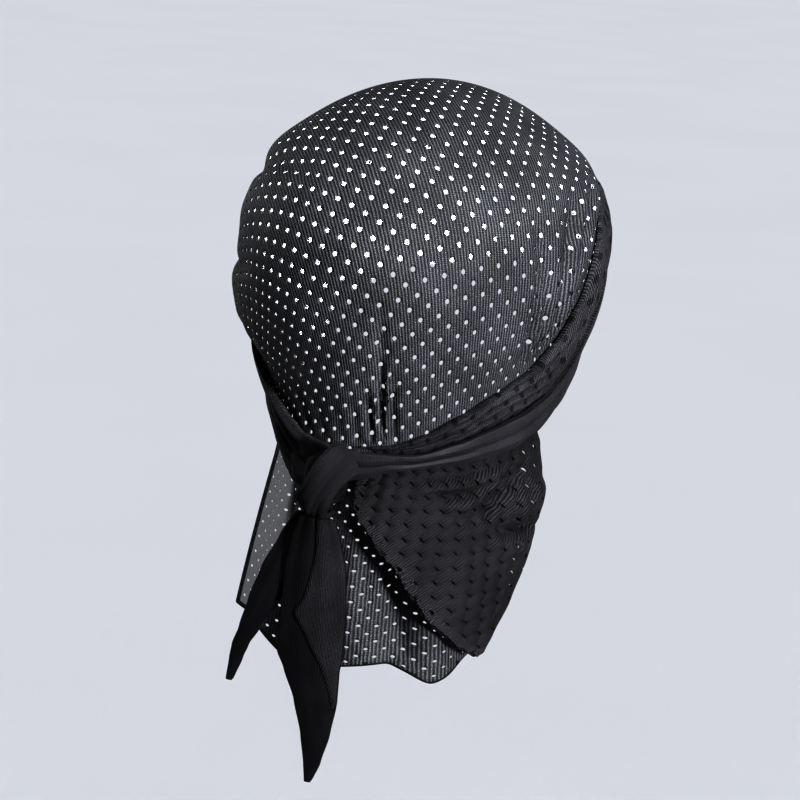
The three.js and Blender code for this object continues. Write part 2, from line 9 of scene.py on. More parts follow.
import bmesh
import bpy
import numpy as np
from mathutils import Matrix, Vector

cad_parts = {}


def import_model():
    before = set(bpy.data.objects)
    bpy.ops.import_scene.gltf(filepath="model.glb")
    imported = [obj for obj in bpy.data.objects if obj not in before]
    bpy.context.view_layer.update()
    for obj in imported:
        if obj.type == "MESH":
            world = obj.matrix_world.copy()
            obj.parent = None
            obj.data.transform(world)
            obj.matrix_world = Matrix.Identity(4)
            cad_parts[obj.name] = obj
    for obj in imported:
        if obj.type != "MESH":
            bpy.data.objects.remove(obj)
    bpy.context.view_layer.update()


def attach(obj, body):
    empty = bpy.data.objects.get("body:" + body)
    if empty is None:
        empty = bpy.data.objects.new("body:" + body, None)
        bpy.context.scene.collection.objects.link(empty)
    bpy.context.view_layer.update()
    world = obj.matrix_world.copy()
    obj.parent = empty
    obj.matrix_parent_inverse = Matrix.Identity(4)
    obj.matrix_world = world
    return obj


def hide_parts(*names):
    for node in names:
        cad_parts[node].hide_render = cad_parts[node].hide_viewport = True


LOG = logging.getLogger("bandana_cap")
MM = 0.001
Array = np.ndarray


class Hold(Enum):
    """How a sheet of cloth is held."""

    STRETCHED = "stretched"
    HUNG = "hung"
    FOLDED = "folded"
    GATHERED = "gathered"


# Curves shared by all pieces


def smooth(share: Array) -> Array:
    """Soft step from 0 to 1.

    Args:
        share: Place along the step; it is held between 0 and 1.

    Returns:
        The height of the step at each place.
    """
    t = np.clip(share, 0.0, 1.0)
    return t * t * (3.0 - 2.0 * t)


def mix(a: Array, b: Array, share: Array) -> Array:
    """Blend of two values.

    Args:
        a: Value at share 0.
        b: Value at share 1.
        share: Place between them.

    Returns:
        The blend.
    """
    return a + (b - a) * share


def bell(distance: Array, width: float) -> Array:
    """Bell curve of height 1.

    Args:
        distance: Distance from the middle.
        width: Half width of the bell.

    Returns:
        The height at each distance.
    """
    return np.exp(-0.5 * (distance / width) ** 2)


def wrapped(bearing: Array) -> Array:
    """Bearing brought between -180 and 180 degrees.

    Args:
        bearing: Bearings in degrees, 0 at the nape.

    Returns:
        The same bearings in one turn.
    """
    return (bearing + 180.0) % 360.0 - 180.0


class Table:
    """Table of listed values with named columns, read at any place between its rows."""

    def __init__(self, names: str, *rows: Sequence[float], round_off: float = 0.35) -> None:
        """Keep the rows sorted by their first column.

        Args:
            names: Column names, the place first.
            rows: One row of numbers for each place.
            round_off: Share of soft steps in the blend between rows.
        """
        sheet = np.array(sorted(rows), float)
        self.names = names.split()
        self.keys = sheet[:, 0]
        self.values = {name: sheet[:, k] for k, name in enumerate(self.names)}
        self.round_off = round_off

    def at(self, name: str, place: Array) -> Array:
        """Value of a column.

        Args:
            name: The column.
            place: Places in the first column's unit.

        Returns:
            The value at each place.
        """
        place = np.asarray(place, float)
        last = np.clip(np.searchsorted(self.keys, place), 1, len(self.keys) - 1)
        low = self.keys[last - 1]
        share = np.clip((place - low) / (self.keys[last] - low), 0.0, 1.0)
        share = mix(share, smooth(share), self.round_off)
        column = self.values[name]
        return mix(column[last - 1], column[last], share)

    def soft(self, name: str, place: Array, reach: float) -> Array:
        """Value of a column, averaged over a reach to both sides.

        Args:
            name: The column.
            place: Places in the first column's unit.
            reach: How far to each side the average goes.

        Returns:
            The averaged value at each place.
        """
        steps = np.linspace(-1.0, 1.0, 7)
        weights = 1.2 - np.abs(steps)
        parts = [w * self.at(name, place + reach * step) for step, w in zip(steps, weights)]
        return sum(parts) / weights.sum()


@dataclass(frozen=True)
class Fold:
    """Ridge or groove of cloth along a line of bearings and heights."""

    out: float
    width: float
    line: tuple[tuple[float, float], ...]
    lean: float = 0.0
    fade: float = 9.0
    degree: float = 1.45

    def rise(self, bearing: Array, height: Array) -> Array:
        """How far the cloth stands out along the line.

        Args:
            bearing: Bearings in degrees.
            height: Heights in millimetres.

        Returns:
            The rise at each place in millimetres, less than 0 in a groove.
        """
        line = np.array(self.line, float) * (self.degree, 1.0)
        place = np.stack([bearing * self.degree, height], axis=-1)
        spans = np.hypot(*np.diff(line, axis=0).T)
        whole = spans.sum()
        nearest = np.full(len(place), 1e9)
        side, run = np.zeros(len(place)), np.zeros(len(place))
        for start, end, span, before in zip(line, line[1:], spans, np.cumsum(spans) - spans):
            along = (end - start) / span
            off = place - start
            share = np.clip(off @ along, 0.0, span)
            gap = off - share[:, None] * along
            distance = np.hypot(gap[:, 0], gap[:, 1])
            closer = distance < nearest
            nearest = np.where(closer, distance, nearest)
            side = np.where(closer, along[0] * gap[:, 1] - along[1] * gap[:, 0], side)
            run = np.where(closer, before + share, run)
        width = self.width * (1.0 + self.lean * np.sign(side))
        ends = smooth(run / self.fade + 0.02) * smooth((whole - run) / self.fade + 0.02)
        return self.out * np.exp(-0.5 * (nearest / width) ** 2) * ends


# Plies, the play between them and their seats on the form, in millimetres

KNIT_PLY = 0.45
CROWN_LIFT = 1.2
FLAP_THICKNESS = 2.4
BAND_THICKNESS = 3.8
ROLL_THICKNESS = 4.4
TAIL_THICKNESS = 2.2
WRAP_THICKNESS = 2.6
PLY_GAP = 0.35
SEAT = 1.95


@dataclass(frozen=True)
class CapForm:
    """Inner form that the cap is stretched over, and the heights of its shared edges."""

    half_width: float = 76.5
    back_reach: float = 100.0
    front_reach: float = 97.0
    widest_height: float = 22.0
    crown_rise: float = 73.0
    fullness: float = 1.95
    widening: float = 0.04
    nape_height: float = -80.0
    nape_half_width: float = 57.0
    nape_half_depth: float = 60.0
    nape_set_back: float = 14.0
    roll_start: float = 12.0
    roll_end: float = 168.0
    edges: Table = field(default_factory=lambda: Table(
        "bearing left_top roll_top roll_low band_low left_low",
        (0, -60, -60, -65, -77, -77), (16, -57, -58.5, -63, -73, -84),
        (24, -51, -57.5, -62, -69, -83.5), (30, -45.5, -55, -61, -68, -79),
        (36, -40, -52, -59.5, -67, -72.5), (48, -30, -44, -55.5, -66, -66),
        (60, -22, -35, -50.5, -65, -63), (72, -12, -27, -46, -63, -62),
        (84, 4, -14, -40, -58, -61), (93, 20, 2, -31, -50, -57), (102, 36, 25, -18, -49, -46),
        (110, 43, 36, -2, -47, -35), (117, 49, 44, 14, -42, -24), (126, 52, 49, 28, -28, -15),
        (135, 54, 53, 40, -13, -8), (180, 58, 58, 50, 0, 0),
    ))

    def girths(self, bearing: Array, height: Array) -> tuple[Array, Array, Array]:
        """Half width, half depth and girth of the form.

        Args:
            bearing: Bearings in degrees.
            height: Heights in millimetres.

        Returns:
            Half width, half depth and the crown's narrowing at each place.
        """
        to_nape = smooth((self.widest_height - height) / (self.widest_height - self.nape_height))
        facing = np.cos(np.radians(bearing))
        reach = np.where(facing > 0, self.back_reach, self.front_reach)
        low_reach = self.nape_half_depth + np.sign(facing) * self.nape_set_back
        wide = mix(self.half_width * (1 + self.widening * facing), self.nape_half_width, to_nape)
        up = np.clip((height - self.widest_height) / self.crown_rise, 0.0, 1.0)
        girth = (1 - up ** self.fullness) ** (1 / self.fullness)
        return wide, mix(reach, low_reach, to_nape), girth

    def point(self, bearing: Array, height: Array, lift: Array) -> Array:
        """Point on the form, moved out by a lift.

        Args:
            bearing: Bearings in degrees.
            height: Heights in millimetres.
            lift: Distance out from the form in millimetres.

        Returns:
            Points, one in each row.
        """
        bearing, height, lift = np.broadcast_arrays(bearing, height, lift)
        wide, deep, girth = self.girths(bearing, height)
        angle = np.radians(bearing)
        up = np.clip((height - self.widest_height) / self.crown_rise, 0.0, 1.0)
        return np.stack([
            -(wide + lift) * np.sin(angle) * girth,
            (deep + lift) * np.cos(angle) * girth,
            height + lift * up,
        ], axis=-1)

    def edge(self, name: str, bearing: Array) -> Array:
        """Height of a shared edge.

        Args:
            name: Column of the edge table.
            bearing: Bearings in degrees.

        Returns:
            The edge's height at each bearing.
        """
        return self.edges.at(name, np.abs(wrapped(np.asarray(bearing, float))))

    def roll_share(self, bearing: Array) -> Array:
        """Share of the roll's full width, 0 where there is no roll.

        Args:
            bearing: Bearings in degrees.

        Returns:
            The share at each bearing.
        """
        place = wrapped(np.asarray(bearing, float))
        inset = np.minimum(place - self.roll_start, self.roll_end - place)
        return np.where(inset < 0, 0.0, mix(0.3, 1.0, smooth(inset / 24.0)))

    def roll_top(self, bearing: Array) -> Array:
        """Upper edge of the roll, or of the band where there is no roll, at each bearing."""
        left = wrapped(np.asarray(bearing, float)) < 0
        return np.where(left, self.edge("left_top", bearing), self.edge("roll_top", bearing))

    def band_top(self, bearing: Array) -> Array:
        """Upper edge of the headband at each bearing."""
        top = self.roll_top(bearing)
        return mix(top, self.edge("roll_low", bearing), self.roll_share(bearing))

    def band_low(self, bearing: Array) -> Array:
        """Lower edge of the headband at each bearing."""
        left = wrapped(np.asarray(bearing, float)) < 0
        return np.where(left, self.edge("left_low", bearing), self.edge("band_low", bearing))

    def rim(self, bearing: Array) -> Array:
        """Lower edge of the crown's cloth, tucked under the band, at each bearing."""
        place = wrapped(np.asarray(bearing, float))
        to_front = smooth((np.abs(place) - 28.0) / 44.0)
        return self.edge("roll_low", bearing) - mix(2.0, 6.0, to_front)

    def crown_seat(self, bearing: Array) -> Array:
        """Lift of a piece laid over the crown at each bearing."""
        climb = self.edge("roll_low", bearing + 6.0) - self.edge("roll_low", bearing - 6.0)
        return SEAT + 0.4 * np.minimum(np.abs(climb) / 25.0, 2.0)

    def band_seat(self, bearing: Array) -> Array:
        """Lift of the band's inner face at each bearing, over the flap too where it lies."""
        place = wrapped(np.asarray(bearing, float))
        over = np.minimum(smooth((place + 6.0) / 12.0), smooth((124.0 - place) / 14.0))
        return self.crown_seat(bearing) + (FLAP_THICKNESS + PLY_GAP) * over


class FlatLay:
    """Flat cloth laid on the form from one centre outwards, along its shortest lines."""

    STEP = 4.0
    RINGS = 62
    SPOKES = 120
    LOWEST = -90.0
    NEAR_TOP = 0.6

    def __init__(self, form: CapForm, bearing: float, height: float, course: Vector) -> None:
        """Walk out from the centre in all directions.

        Args:
            form: The form under the cloth.
            bearing: Bearing of the centre.
            height: Height of the centre.
            course: Direction of the knit's courses at the centre.
        """
        self.form = form
        centre = self._settle(form.point(np.array([bearing]), np.array([height]), 0.0))[0]
        normal = self._slope(centre[None])[0]
        along = np.array(course) - normal * (np.array(course) @ normal)
        along /= np.linalg.norm(along)
        across = np.cross(normal, along)
        turns = np.linspace(0.0, 2.0 * math.pi, self.SPOKES + 1)
        heading = np.cos(turns)[:, None] * along + np.sin(turns)[:, None] * across
        place = np.repeat(centre[None], len(turns), axis=0)
        rings = [place]
        for _ in range(self.RINGS):
            after = self._settle(place + heading * self.STEP)
            heading = after - place
            normal = self._slope(after)
            heading -= normal * np.sum(heading * normal, axis=-1, keepdims=True)
            heading /= np.linalg.norm(heading, axis=-1, keepdims=True)
            place = after
            rings.append(place)
        self.rings = np.array(rings)

    def _level(self, place: Array) -> Array:
        """How far outside the form each place is, 0 on it."""
        form = self.form
        x, y, z = place[..., 0], place[..., 1], place[..., 2]
        back = 1.0 / (1.0 + np.exp(-y / 6.0))
        to_nape = smooth((form.widest_height - z) / (form.widest_height - form.nape_height))
        deep = mix(
            mix(form.front_reach, form.back_reach, back),
            form.nape_half_depth + (2.0 * back - 1.0) * form.nape_set_back,
            to_nape,
        )
        wide = mix(form.half_width, form.nape_half_width, to_nape)
        up = np.clip((z - form.widest_height) / form.crown_rise, 0.0, 1.5)
        return np.hypot(x / wide, y / deep) ** form.fullness + up ** form.fullness - 1.0

    def _raw_slope(self, place: Array) -> Array:
        """Rise of the level in each direction at each place."""
        slope = np.zeros_like(place)
        for k in range(3):
            step = np.zeros(3)
            step[k] = 0.05
            slope[..., k] = (self._level(place + step) - self._level(place - step)) / 0.1
        return slope

    def _slope(self, place: Array) -> Array:
        """Outward direction at each place."""
        slope = self._raw_slope(place)
        return slope / np.linalg.norm(slope, axis=-1, keepdims=True)

    def _settle(self, place: Array) -> Array:
        """Places moved on to the form."""
        for _ in range(4):
            slope = self._raw_slope(place)
            share = self._level(place) / np.sum(slope * slope, axis=-1)
            place = place - slope * share[..., None]
        return place

    def bearings(self, flat: Array) -> tuple[Array, Array]:
        """Bearing and height where flat cloth comes to lie.

        Args:
            flat: Places on the flat cloth in millimetres from the centre.

        Returns:
            Bearings in degrees and heights in millimetres.
        """
        ring = np.clip(np.hypot(flat[:, 0], flat[:, 1]) / self.STEP, 0.0, self.RINGS - 0.001)
        spoke = (np.arctan2(flat[:, 1], flat[:, 0]) / (2.0 * math.pi) % 1.0) * self.SPOKES
        spoke = np.clip(spoke, 0.0, self.SPOKES - 0.001)
        i, j = ring.astype(int), spoke.astype(int)
        out, turn = (ring - i)[:, None], (spoke - j)[:, None]
        near = mix(self.rings[i, j], self.rings[i, j + 1], turn)
        far = mix(self.rings[i + 1, j], self.rings[i + 1, j + 1], turn)
        return self._read(mix(near, far, out))

    def _read(self, place: Array) -> tuple[Array, Array]:
        """Bearing and height of places on the form.

        Args:
            place: Places in millimetres, one in each row.

        Returns:
            Bearings in degrees and heights in millimetres.
        """
        form = self.form
        height = np.maximum(place[:, 2], self.LOWEST)
        bearing = np.degrees(np.arctan2(-place[:, 0], place[:, 1]))
        for _ in range(3):
            wide, deep, _girth = form.girths(bearing, height)
            bearing = np.degrees(np.arctan2(-place[:, 0] / wide, place[:, 1] / deep))
        # Near the top the height hardly changes, so there it follows from the distance out.
        out = np.clip(np.hypot(place[:, 0] / wide, place[:, 1] / deep), 0.001, 1.0)
        dome = form.widest_height + form.crown_rise * (1 - out ** form.fullness) ** (1 / form.fullness)
        near_top = smooth((self.NEAR_TOP - out) / 0.3) * (place[:, 2] > form.widest_height)
        return bearing, mix(height, dome, near_top)


# Mesh making


@dataclass(frozen=True)
class Knit:
    """Pierced knit: course and wale repeats on the flat cloth, and the size of its holes."""

    course: tuple[float, float] = (8.95, 0.66)
    wale: tuple[float, float] = (-0.66, 11.6)
    hole: float = 0.15
    slit: tuple[float, float] = (1.12, 0.96)

    def basis(self) -> Array:
        """Two steps from one hole to the next, one in each row."""
        course, wale = np.array(self.course), np.array(self.wale)
        return np.array([(course + wale) / 2.0, (wale - course) / 2.0])

    def _cells(self, low: tuple[float, float], high: tuple[float, float],
               inside: Callable[[Array], Array]) -> bmesh.types.BMesh:
        """Flat grid with one square face of side 1 for each hole.

        Args:
            low: Lowest corner of the flat cloth in millimetres.
            high: Highest corner of the flat cloth in millimetres.
            inside: Tells for flat places whether the cloth reaches there.

        Returns:
            The cells that the cloth reaches.
        """
        basis = self.basis()
        corners = np.array([(x, y) for x in (low[0], high[0]) for y in (low[1], high[1])])
        cells = corners @ np.linalg.inv(basis)
        first = np.floor(cells.min(axis=0)).astype(int)
        count = np.ceil(cells.max(axis=0)).astype(int) - first
        bm = bmesh.new()
        bmesh.ops.create_grid(bm, x_segments=int(count[0]), y_segments=int(count[1]), size=0.5)
        middle = first + count / 2.0
        spread = Matrix.Diagonal((*(float(c) for c in count), 1.0, 1.0))
        bmesh.ops.transform(bm, matrix=Matrix.Translation((*middle, 0.0)) @ spread, verts=bm.verts)
        centres = np.array([face.calc_center_median()[:2] for face in bm.faces])
        keep = inside(centres @ basis)
        bm.faces.ensure_lookup_table()
        drop = [bm.faces[k] for k in np.flatnonzero(~keep)]
        bmesh.ops.delete(bm, geom=drop, context="FACES")
        return bm

    def _rounded(self, places: Array) -> Array:
        """Places in the cells, with the square holes made round or into slits.

        Args:
            places: Places counted in cells.

        Returns:
            The moved places, also counted in cells.
        """
        basis = self.basis()
        centre = np.floor(places) + 0.5
        off = places - centre
        square = np.abs(off).max(axis=1)
        length = np.maximum(np.hypot(off[:, 0], off[:, 1]), 1e-9)
        weight = np.clip((0.5 - square) / (0.5 - self.hole), 0.0, 1.0)
        off = off * mix(1.0, 1.1 * square / length, weight)[:, None] @ basis
        axes = [np.array(way) / math.hypot(*way) for way in (self.course, self.wale)]
        along, up = off @ axes[0], off @ axes[1]
        lean = axes[0] @ axes[1]
        skew = 1.0 - lean ** 2
        turned = (along - up * lean) / skew, (up - along * lean) / skew
        off = sum(axis * (part * mix(1.0, scale, weight))[:, None]
                  for axis, part, scale in zip(axes, turned, self.slit))
        return centre + off @ np.linalg.inv(basis)

    def cloth(self, low: tuple[float, float], high: tuple[float, float],
              inside: Callable[[Array], Array], cuts: int = 1) -> bmesh.types.BMesh:
        """Flat pierced cloth with one hole in each cell.

        Args:
            low: Lowest corner of the flat cloth in millimetres.
            high: Highest corner of the flat cloth in millimetres.
            inside: Tells for flat places whether the cloth reaches there.
            cuts: How often each cell edge is cut.

        Returns:
            The cloth, lying flat in millimetres, with its cells in the map Lattice.
        """
        bm = self._cells(low, high, inside)
        holes = list(bm.faces)
        bmesh.ops.inset_individual(bm, faces=holes, thickness=0.5 - self.hole, use_even_offset=True)
        bmesh.ops.delete(bm, geom=holes, context="FACES")
        bmesh.ops.subdivide_edges(bm, edges=bm.edges[:], cuts=cuts, use_grid_fill=True)
        places = self._rounded(flat_places(bm))
        chart(bm, "Lattice", places)
        for vert, place in zip(bm.verts, places @ self.basis()):
            vert.co = (*place, 0.0)
        return bm


def flat_places(bm: bmesh.types.BMesh) -> Array:
    """First two coordinates of each vertex."""
    return np.array([vert.co[:2] for vert in bm.verts])


def move_to(bm: bmesh.types.BMesh, points: Array) -> None:
    """Move the vertices to points given in millimetres.

    Args:
        bm: The mesh.
        points: New point of each vertex.
    """
    for vert, point in zip(bm.verts, points):
        vert.co = point * MM


def grid(columns: int, rows: int) -> tuple[bmesh.types.BMesh, Array, Array]:
    """Plain grid with shares across and up from 0 to 1.

    Args:
        columns: Faces across.
        rows: Faces up.

    Returns:
        The mesh, and the share across and up of each vertex.
    """
    bm = bmesh.new()
    bmesh.ops.create_grid(bm, x_segments=columns, y_segments=rows, size=0.5)
    places = flat_places(bm) + 0.5
    return bm, places[:, 0], places[:, 1]


def chart(bm: bmesh.types.BMesh, name: str, places: Array) -> None:
    """Write a map of the flat cloth.

    Args:
        bm: The mesh.
        name: Name of the map.
        places: Flat place of each vertex in the map's unit.
    """
    layer = bm.loops.layers.uv.new(name)
    bm.verts.index_update()
    for face in bm.faces:
        for loop in face.loops:
            loop[layer].uv = places[loop.vert.index]


def trim(bm: bmesh.types.BMesh, keep: Array) -> None:
    """Delete the faces that have no kept vertex.

    Args:
        bm: The mesh.
        keep: Tells for each vertex whether it is kept.
    """
    bm.verts.index_update()
    drop = [face for face in bm.faces if not any(keep[vert.index] for vert in face.verts)]
    bmesh.ops.delete(bm, geom=drop, context="FACES")


def paint(bm: bmesh.types.BMesh, share: Array, level: float) -> None:
    """Give the second material to the faces where a share is high.

    Args:
        bm: The mesh.
        share: Share at each vertex.
        level: Share over which a face gets the second material.
    """
    bm.verts.index_update()
    for face in bm.faces:
        face.material_index = int(np.mean([share[vert.index] for vert in face.verts]) > level)


@dataclass
class Piece:
    """A finished piece of the cap and how it stands in the frame."""

    name: str
    node: str
    slot: str
    material: bpy.types.Material
    thickness: float = 0.0
    levels: int = 0

    def make(self, bm: bmesh.types.BMesh, sharp: float = 50.0) -> bpy.types.Object:
        """Turn a mesh into the piece.

        Args:
            bm: The mesh in metres; it is freed.
            sharp: Angle in degrees from which an edge is shaded sharp.

        Returns:
            The new object.
        """
        mesh = bpy.data.meshes.new(self.name)
        for face in bm.faces:
            face.smooth = True
        bm.to_mesh(mesh)
        bm.free()
        mesh.set_sharp_from_angle(angle=math.radians(sharp))
        mesh.materials.append(self.material)
        piece = bpy.data.objects.new(self.name, mesh)
        bpy.context.scene.collection.objects.link(piece)
        if self.thickness:
            wall = piece.modifiers.new("Wall", "SOLIDIFY")
            wall.thickness = self.thickness * MM
            wall.offset = -1.0
            wall.use_flat_faces = True
        if self.levels:
            soft = piece.modifiers.new("Soft", "SUBSURF")
            soft.levels = self.levels
            soft.render_levels = self.levels
        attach(piece, "root")
        if self.node:
            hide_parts(self.node)
        return piece


def cloth_area(piece: bpy.types.Object) -> float:
    """Area of a piece's cloth in square metres, counting one side of it."""
    shown = piece.evaluated_get(bpy.context.evaluated_depsgraph_get())
    mesh = shown.to_mesh()
    area = sum(face.area for face in mesh.polygons)
    shown.to_mesh_clear()
    return area / 2.0


def rolled_edge(piece: Piece, points: Array, radius: float) -> bpy.types.Object:
    """Narrow rolled hem along a line.

    Args:
        piece: Name, slot and material of the hem.
        points: The line in millimetres.
        radius: Radius of the hem in millimetres.

    Returns:
        The hem.
    """
    curve = bpy.data.curves.new(piece.name + "_line", "CURVE")
    curve.dimensions = "3D"
    spline = curve.splines.new("POLY")
    spline.points.add(len(points) - 1)
    for k, point in enumerate(points):
        spline.points[k].co = (*(point * MM), 1.0)
    curve.bevel_depth = radius * MM
    curve.bevel_resolution = 3
    curve.use_fill_caps = True
    line = bpy.data.objects.new(piece.name + "_line", curve)
    mesh = bpy.data.meshes.new_from_object(line)
    bm = bmesh.new()
    bm.from_mesh(mesh)
    bpy.data.objects.remove(line)
    bpy.data.curves.remove(curve)
    bpy.data.meshes.remove(mesh)
    chart(bm, "Cloth", np.array([(v.co.x + v.co.y, v.co.z) for v in bm.verts]) * 100.0)
    return piece.make(bm)


# Finishes


class Nodes:
    """Helper that adds nodes to one material."""

    def __init__(self, name: str) -> None:
        """Start a material.

        Args:
            name: Name of the material.
        """
        self.material = bpy.data.materials.new(name)
        self.material.use_nodes = True
        self.tree = self.material.node_tree
        self.shader = self.tree.nodes["Principled BSDF"]
        self.output = self.tree.nodes["Material Output"]

    def add(self, kind: str, values: dict | None = None, **settings: object) -> bpy.types.Node:
        """Add a node.

        Args:
            kind: Node type.
            values: Values of its inputs by name or place.
            settings: Properties of the node.

        Returns:
            The node.
        """
        node = self.tree.nodes.new(kind)
        for key, value in settings.items():
            setattr(node, key, value)
        for key, value in (values or {}).items():
            node.inputs[key].default_value = value
        return node

    def link(self, source: bpy.types.NodeSocket, target: bpy.types.NodeSocket) -> None:
        """Join two sockets."""
        self.tree.links.new(source, target)

    def math(self, operation: str, a: object, b: object = 0.0) -> bpy.types.NodeSocket:
        """Add a Math node.

        Args:
            operation: The operation.
            a: First number or socket.
            b: Second number or socket.

        Returns:
            Its output.
        """
        node = self.add("ShaderNodeMath", operation=operation)
        for k, value in enumerate((a, b)):
            if isinstance(value, bpy.types.NodeSocket):
                self.link(value, node.inputs[k])
            else:
                node.inputs[k].default_value = value
        return node.outputs[0]

    def ramp(self, source: bpy.types.NodeSocket, low: float, high: float,
             start: float = 0.0, end: float = 1.0) -> bpy.types.NodeSocket:
        """Add a Map Range node.

        Args:
            source: Socket to map.
            low: Source value that gives start.
            high: Source value that gives end.
            start: First result.
            end: Last result.

        Returns:
            Its output.
        """
        node = self.add("ShaderNodeMapRange", interpolation_type="SMOOTHSTEP")
        for k, value in enumerate((low, high, start, end), start=1):
            node.inputs[k].default_value = value
        self.link(source, node.inputs[0])
        return node.outputs[0]

    def noise(self, place: bpy.types.NodeSocket, scale: float, detail: float,
              roughness: float = 0.5) -> bpy.types.NodeSocket:
        """Add a Noise Texture node.

        Args:
            place: Socket of the place.
            scale: Its scale.
            detail: Its detail.
            roughness: Its roughness.

        Returns:
            Its output.
        """
        node = self.add("ShaderNodeTexNoise",
                        {"Scale": scale, "Detail": detail, "Roughness": roughness})
        self.link(place, node.inputs["Vector"])
        return node.outputs["Fac"]

    def colour(self, base: tuple[float, float, float], shade: bpy.types.NodeSocket) -> None:
        """Give the shader a base colour.

        Args:
            base: The colour.
            shade: Socket that it is multiplied by.
        """
        tint = self.add("ShaderNodeMix", data_type="RGBA", blend_type="MULTIPLY")
        tint.inputs["Factor"].default_value = 1.0
        tint.inputs["A"].default_value = (*base, 1.0)
        self.link(shade, tint.inputs["B"])
        self.link(tint.outputs["Result"], self.shader.inputs["Base Color"])


@dataclass(frozen=True)
class KnitFinish:
    """Black knit: colour with painted shade in the thread valleys and painted highlight on the crests,
    gloss, sheen, ribs, bricks, and dimples with painted shade.
    """

    name: str
    colour: tuple[float, float, float] = (0.0084, 0.0086, 0.0098)
    roughness: float = 0.36
    sheen: float = 0.004
    gloss: float = 0.065
    rib_pitch: float = 0.15
    rib_depth: float = 0.8
    grain: float = 0.22
    dimple: float = 0.0
    dimple_radius: float = 0.17
    brick: float = 0.0
    clear: float = 0.0
    clear_side: float = 0.0
    strip: tuple[float, float] = (-3.3, -2.9)

    @staticmethod
    def _threads(nodes: Nodes, cloth: bpy.types.NodeSocket, way: str, pitch: float,
                 distortion: float, detail_scale: float) -> bpy.types.NodeSocket:
        """Waves of the threads in one direction.

        Args:
            nodes: The material's nodes.
            cloth: Socket of the map Cloth.
            way: Direction of the waves.
            pitch: Distance from wave to wave in the map's unit.
            distortion: How much the waves wander.
            detail_scale: How finely they wander.

        Returns:
            The waves' height.
        """
        wave = nodes.add("ShaderNodeTexWave",
                         {"Scale": 0.314 / pitch, "Distortion": distortion, "Detail": 2.0,
                          "Detail Scale": detail_scale},
                         wave_type="BANDS", bands_direction=way, wave_profile="SIN")
        nodes.link(cloth, wave.inputs["Vector"])
        return wave.outputs["Fac"]

    def _weave(self, nodes: Nodes, cloth: bpy.types.NodeSocket) -> bpy.types.NodeSocket:
        """Height of ribs, courses and grain.

        Args:
            nodes: The material's nodes.
            cloth: Socket of the map Cloth.

        Returns:
            The height.
        """
        rib = self._threads(nodes, cloth, "X", self.rib_pitch, 1.2, 1.5)
        course = self._threads(nodes, cloth, "Y", self.rib_pitch * 0.55, 2.5, 3.0)
        speck = nodes.ramp(nodes.noise(cloth, 16.0, 4.0, 0.75), 0.36, 0.64)
        weave = nodes.math("ADD", nodes.math("MULTIPLY", rib, 0.55),
                           nodes.math("MULTIPLY", course, 0.25))
        weave = nodes.math("MULTIPLY", weave, 1.15 - self.grain)
        return nodes.math("ADD", weave, nodes.math("MULTIPLY", speck, self.grain))

    @staticmethod
    def _from_hole(nodes: Nodes) -> bpy.types.NodeSocket:
        """Distance from the middle of each cell of the map Lattice."""
        lattice = nodes.add("ShaderNodeUVMap", uv_map="Lattice").outputs[0]
        fraction = nodes.add("ShaderNodeVectorMath", operation="FRACTION")
        nodes.link(lattice, fraction.inputs[0])
        off = nodes.add("ShaderNodeVectorMath", {1: (0.5, 0.5, 0.0)}, operation="SUBTRACT")
        nodes.link(fraction.outputs[0], off.inputs[0])
        distance = nodes.add("ShaderNodeVectorMath", operation="LENGTH")
        nodes.link(off.outputs[0], distance.inputs[0])
        return distance.outputs["Value"]

    def _see_through(self, nodes: Nodes, cloth: bpy.types.NodeSocket) -> None:
        """Let part of the light through, more of it in the strip along the left edge.

        Args:
            nodes: The material's nodes.
            cloth: Socket of the map Cloth.
        """
        clear = nodes.add("ShaderNodeBsdfTransparent")
        split = nodes.add("ShaderNodeSeparateXYZ")
        nodes.link(cloth, split.inputs[0])
        blend = nodes.add("ShaderNodeMixShader")
        nodes.link(nodes.ramp(split.outputs["X"], *self.strip, self.clear_side, self.clear),
                   blend.inputs[0])
        nodes.link(nodes.shader.outputs[0], blend.inputs[1])
        nodes.link(clear.outputs[0], blend.inputs[2])
        nodes.link(blend.outputs[0], nodes.output.inputs["Surface"])

    def make(self) -> bpy.types.Material:
        """Build the material.

        Returns:
            The material, which reads the maps Cloth and Lattice.
        """
        nodes = Nodes(self.name)
        shader = nodes.shader
        cloth = nodes.add("ShaderNodeUVMap", uv_map="Cloth").outputs[0]
        height = weave = self._weave(nodes, cloth)
        patch = nodes.ramp(nodes.noise(cloth, 0.35, 3.0), 0.3, 0.7, 0.75, 1.3)
        # Painted shade and highlight: the colour is darker in the thread valleys and lighter on the
        # crests and specks of the weave, times random patches of tone.
        shade = nodes.math("MULTIPLY", nodes.ramp(weave, 0.25, 0.95, 0.2, 2.6), patch)
        if self.brick:
            swell = nodes.ramp(self._from_hole(nodes), 0.15, 0.55)
            height = nodes.math("ADD", height, nodes.math("MULTIPLY", swell, self.brick))
        if self.dimple:
            pit_and_painted_shade = nodes.ramp(self._from_hole(nodes), self.dimple_radius * 0.6,
                             self.dimple_radius * 1.7)
            height = nodes.math("ADD", height, nodes.math("MULTIPLY", pit_and_painted_shade, self.dimple))
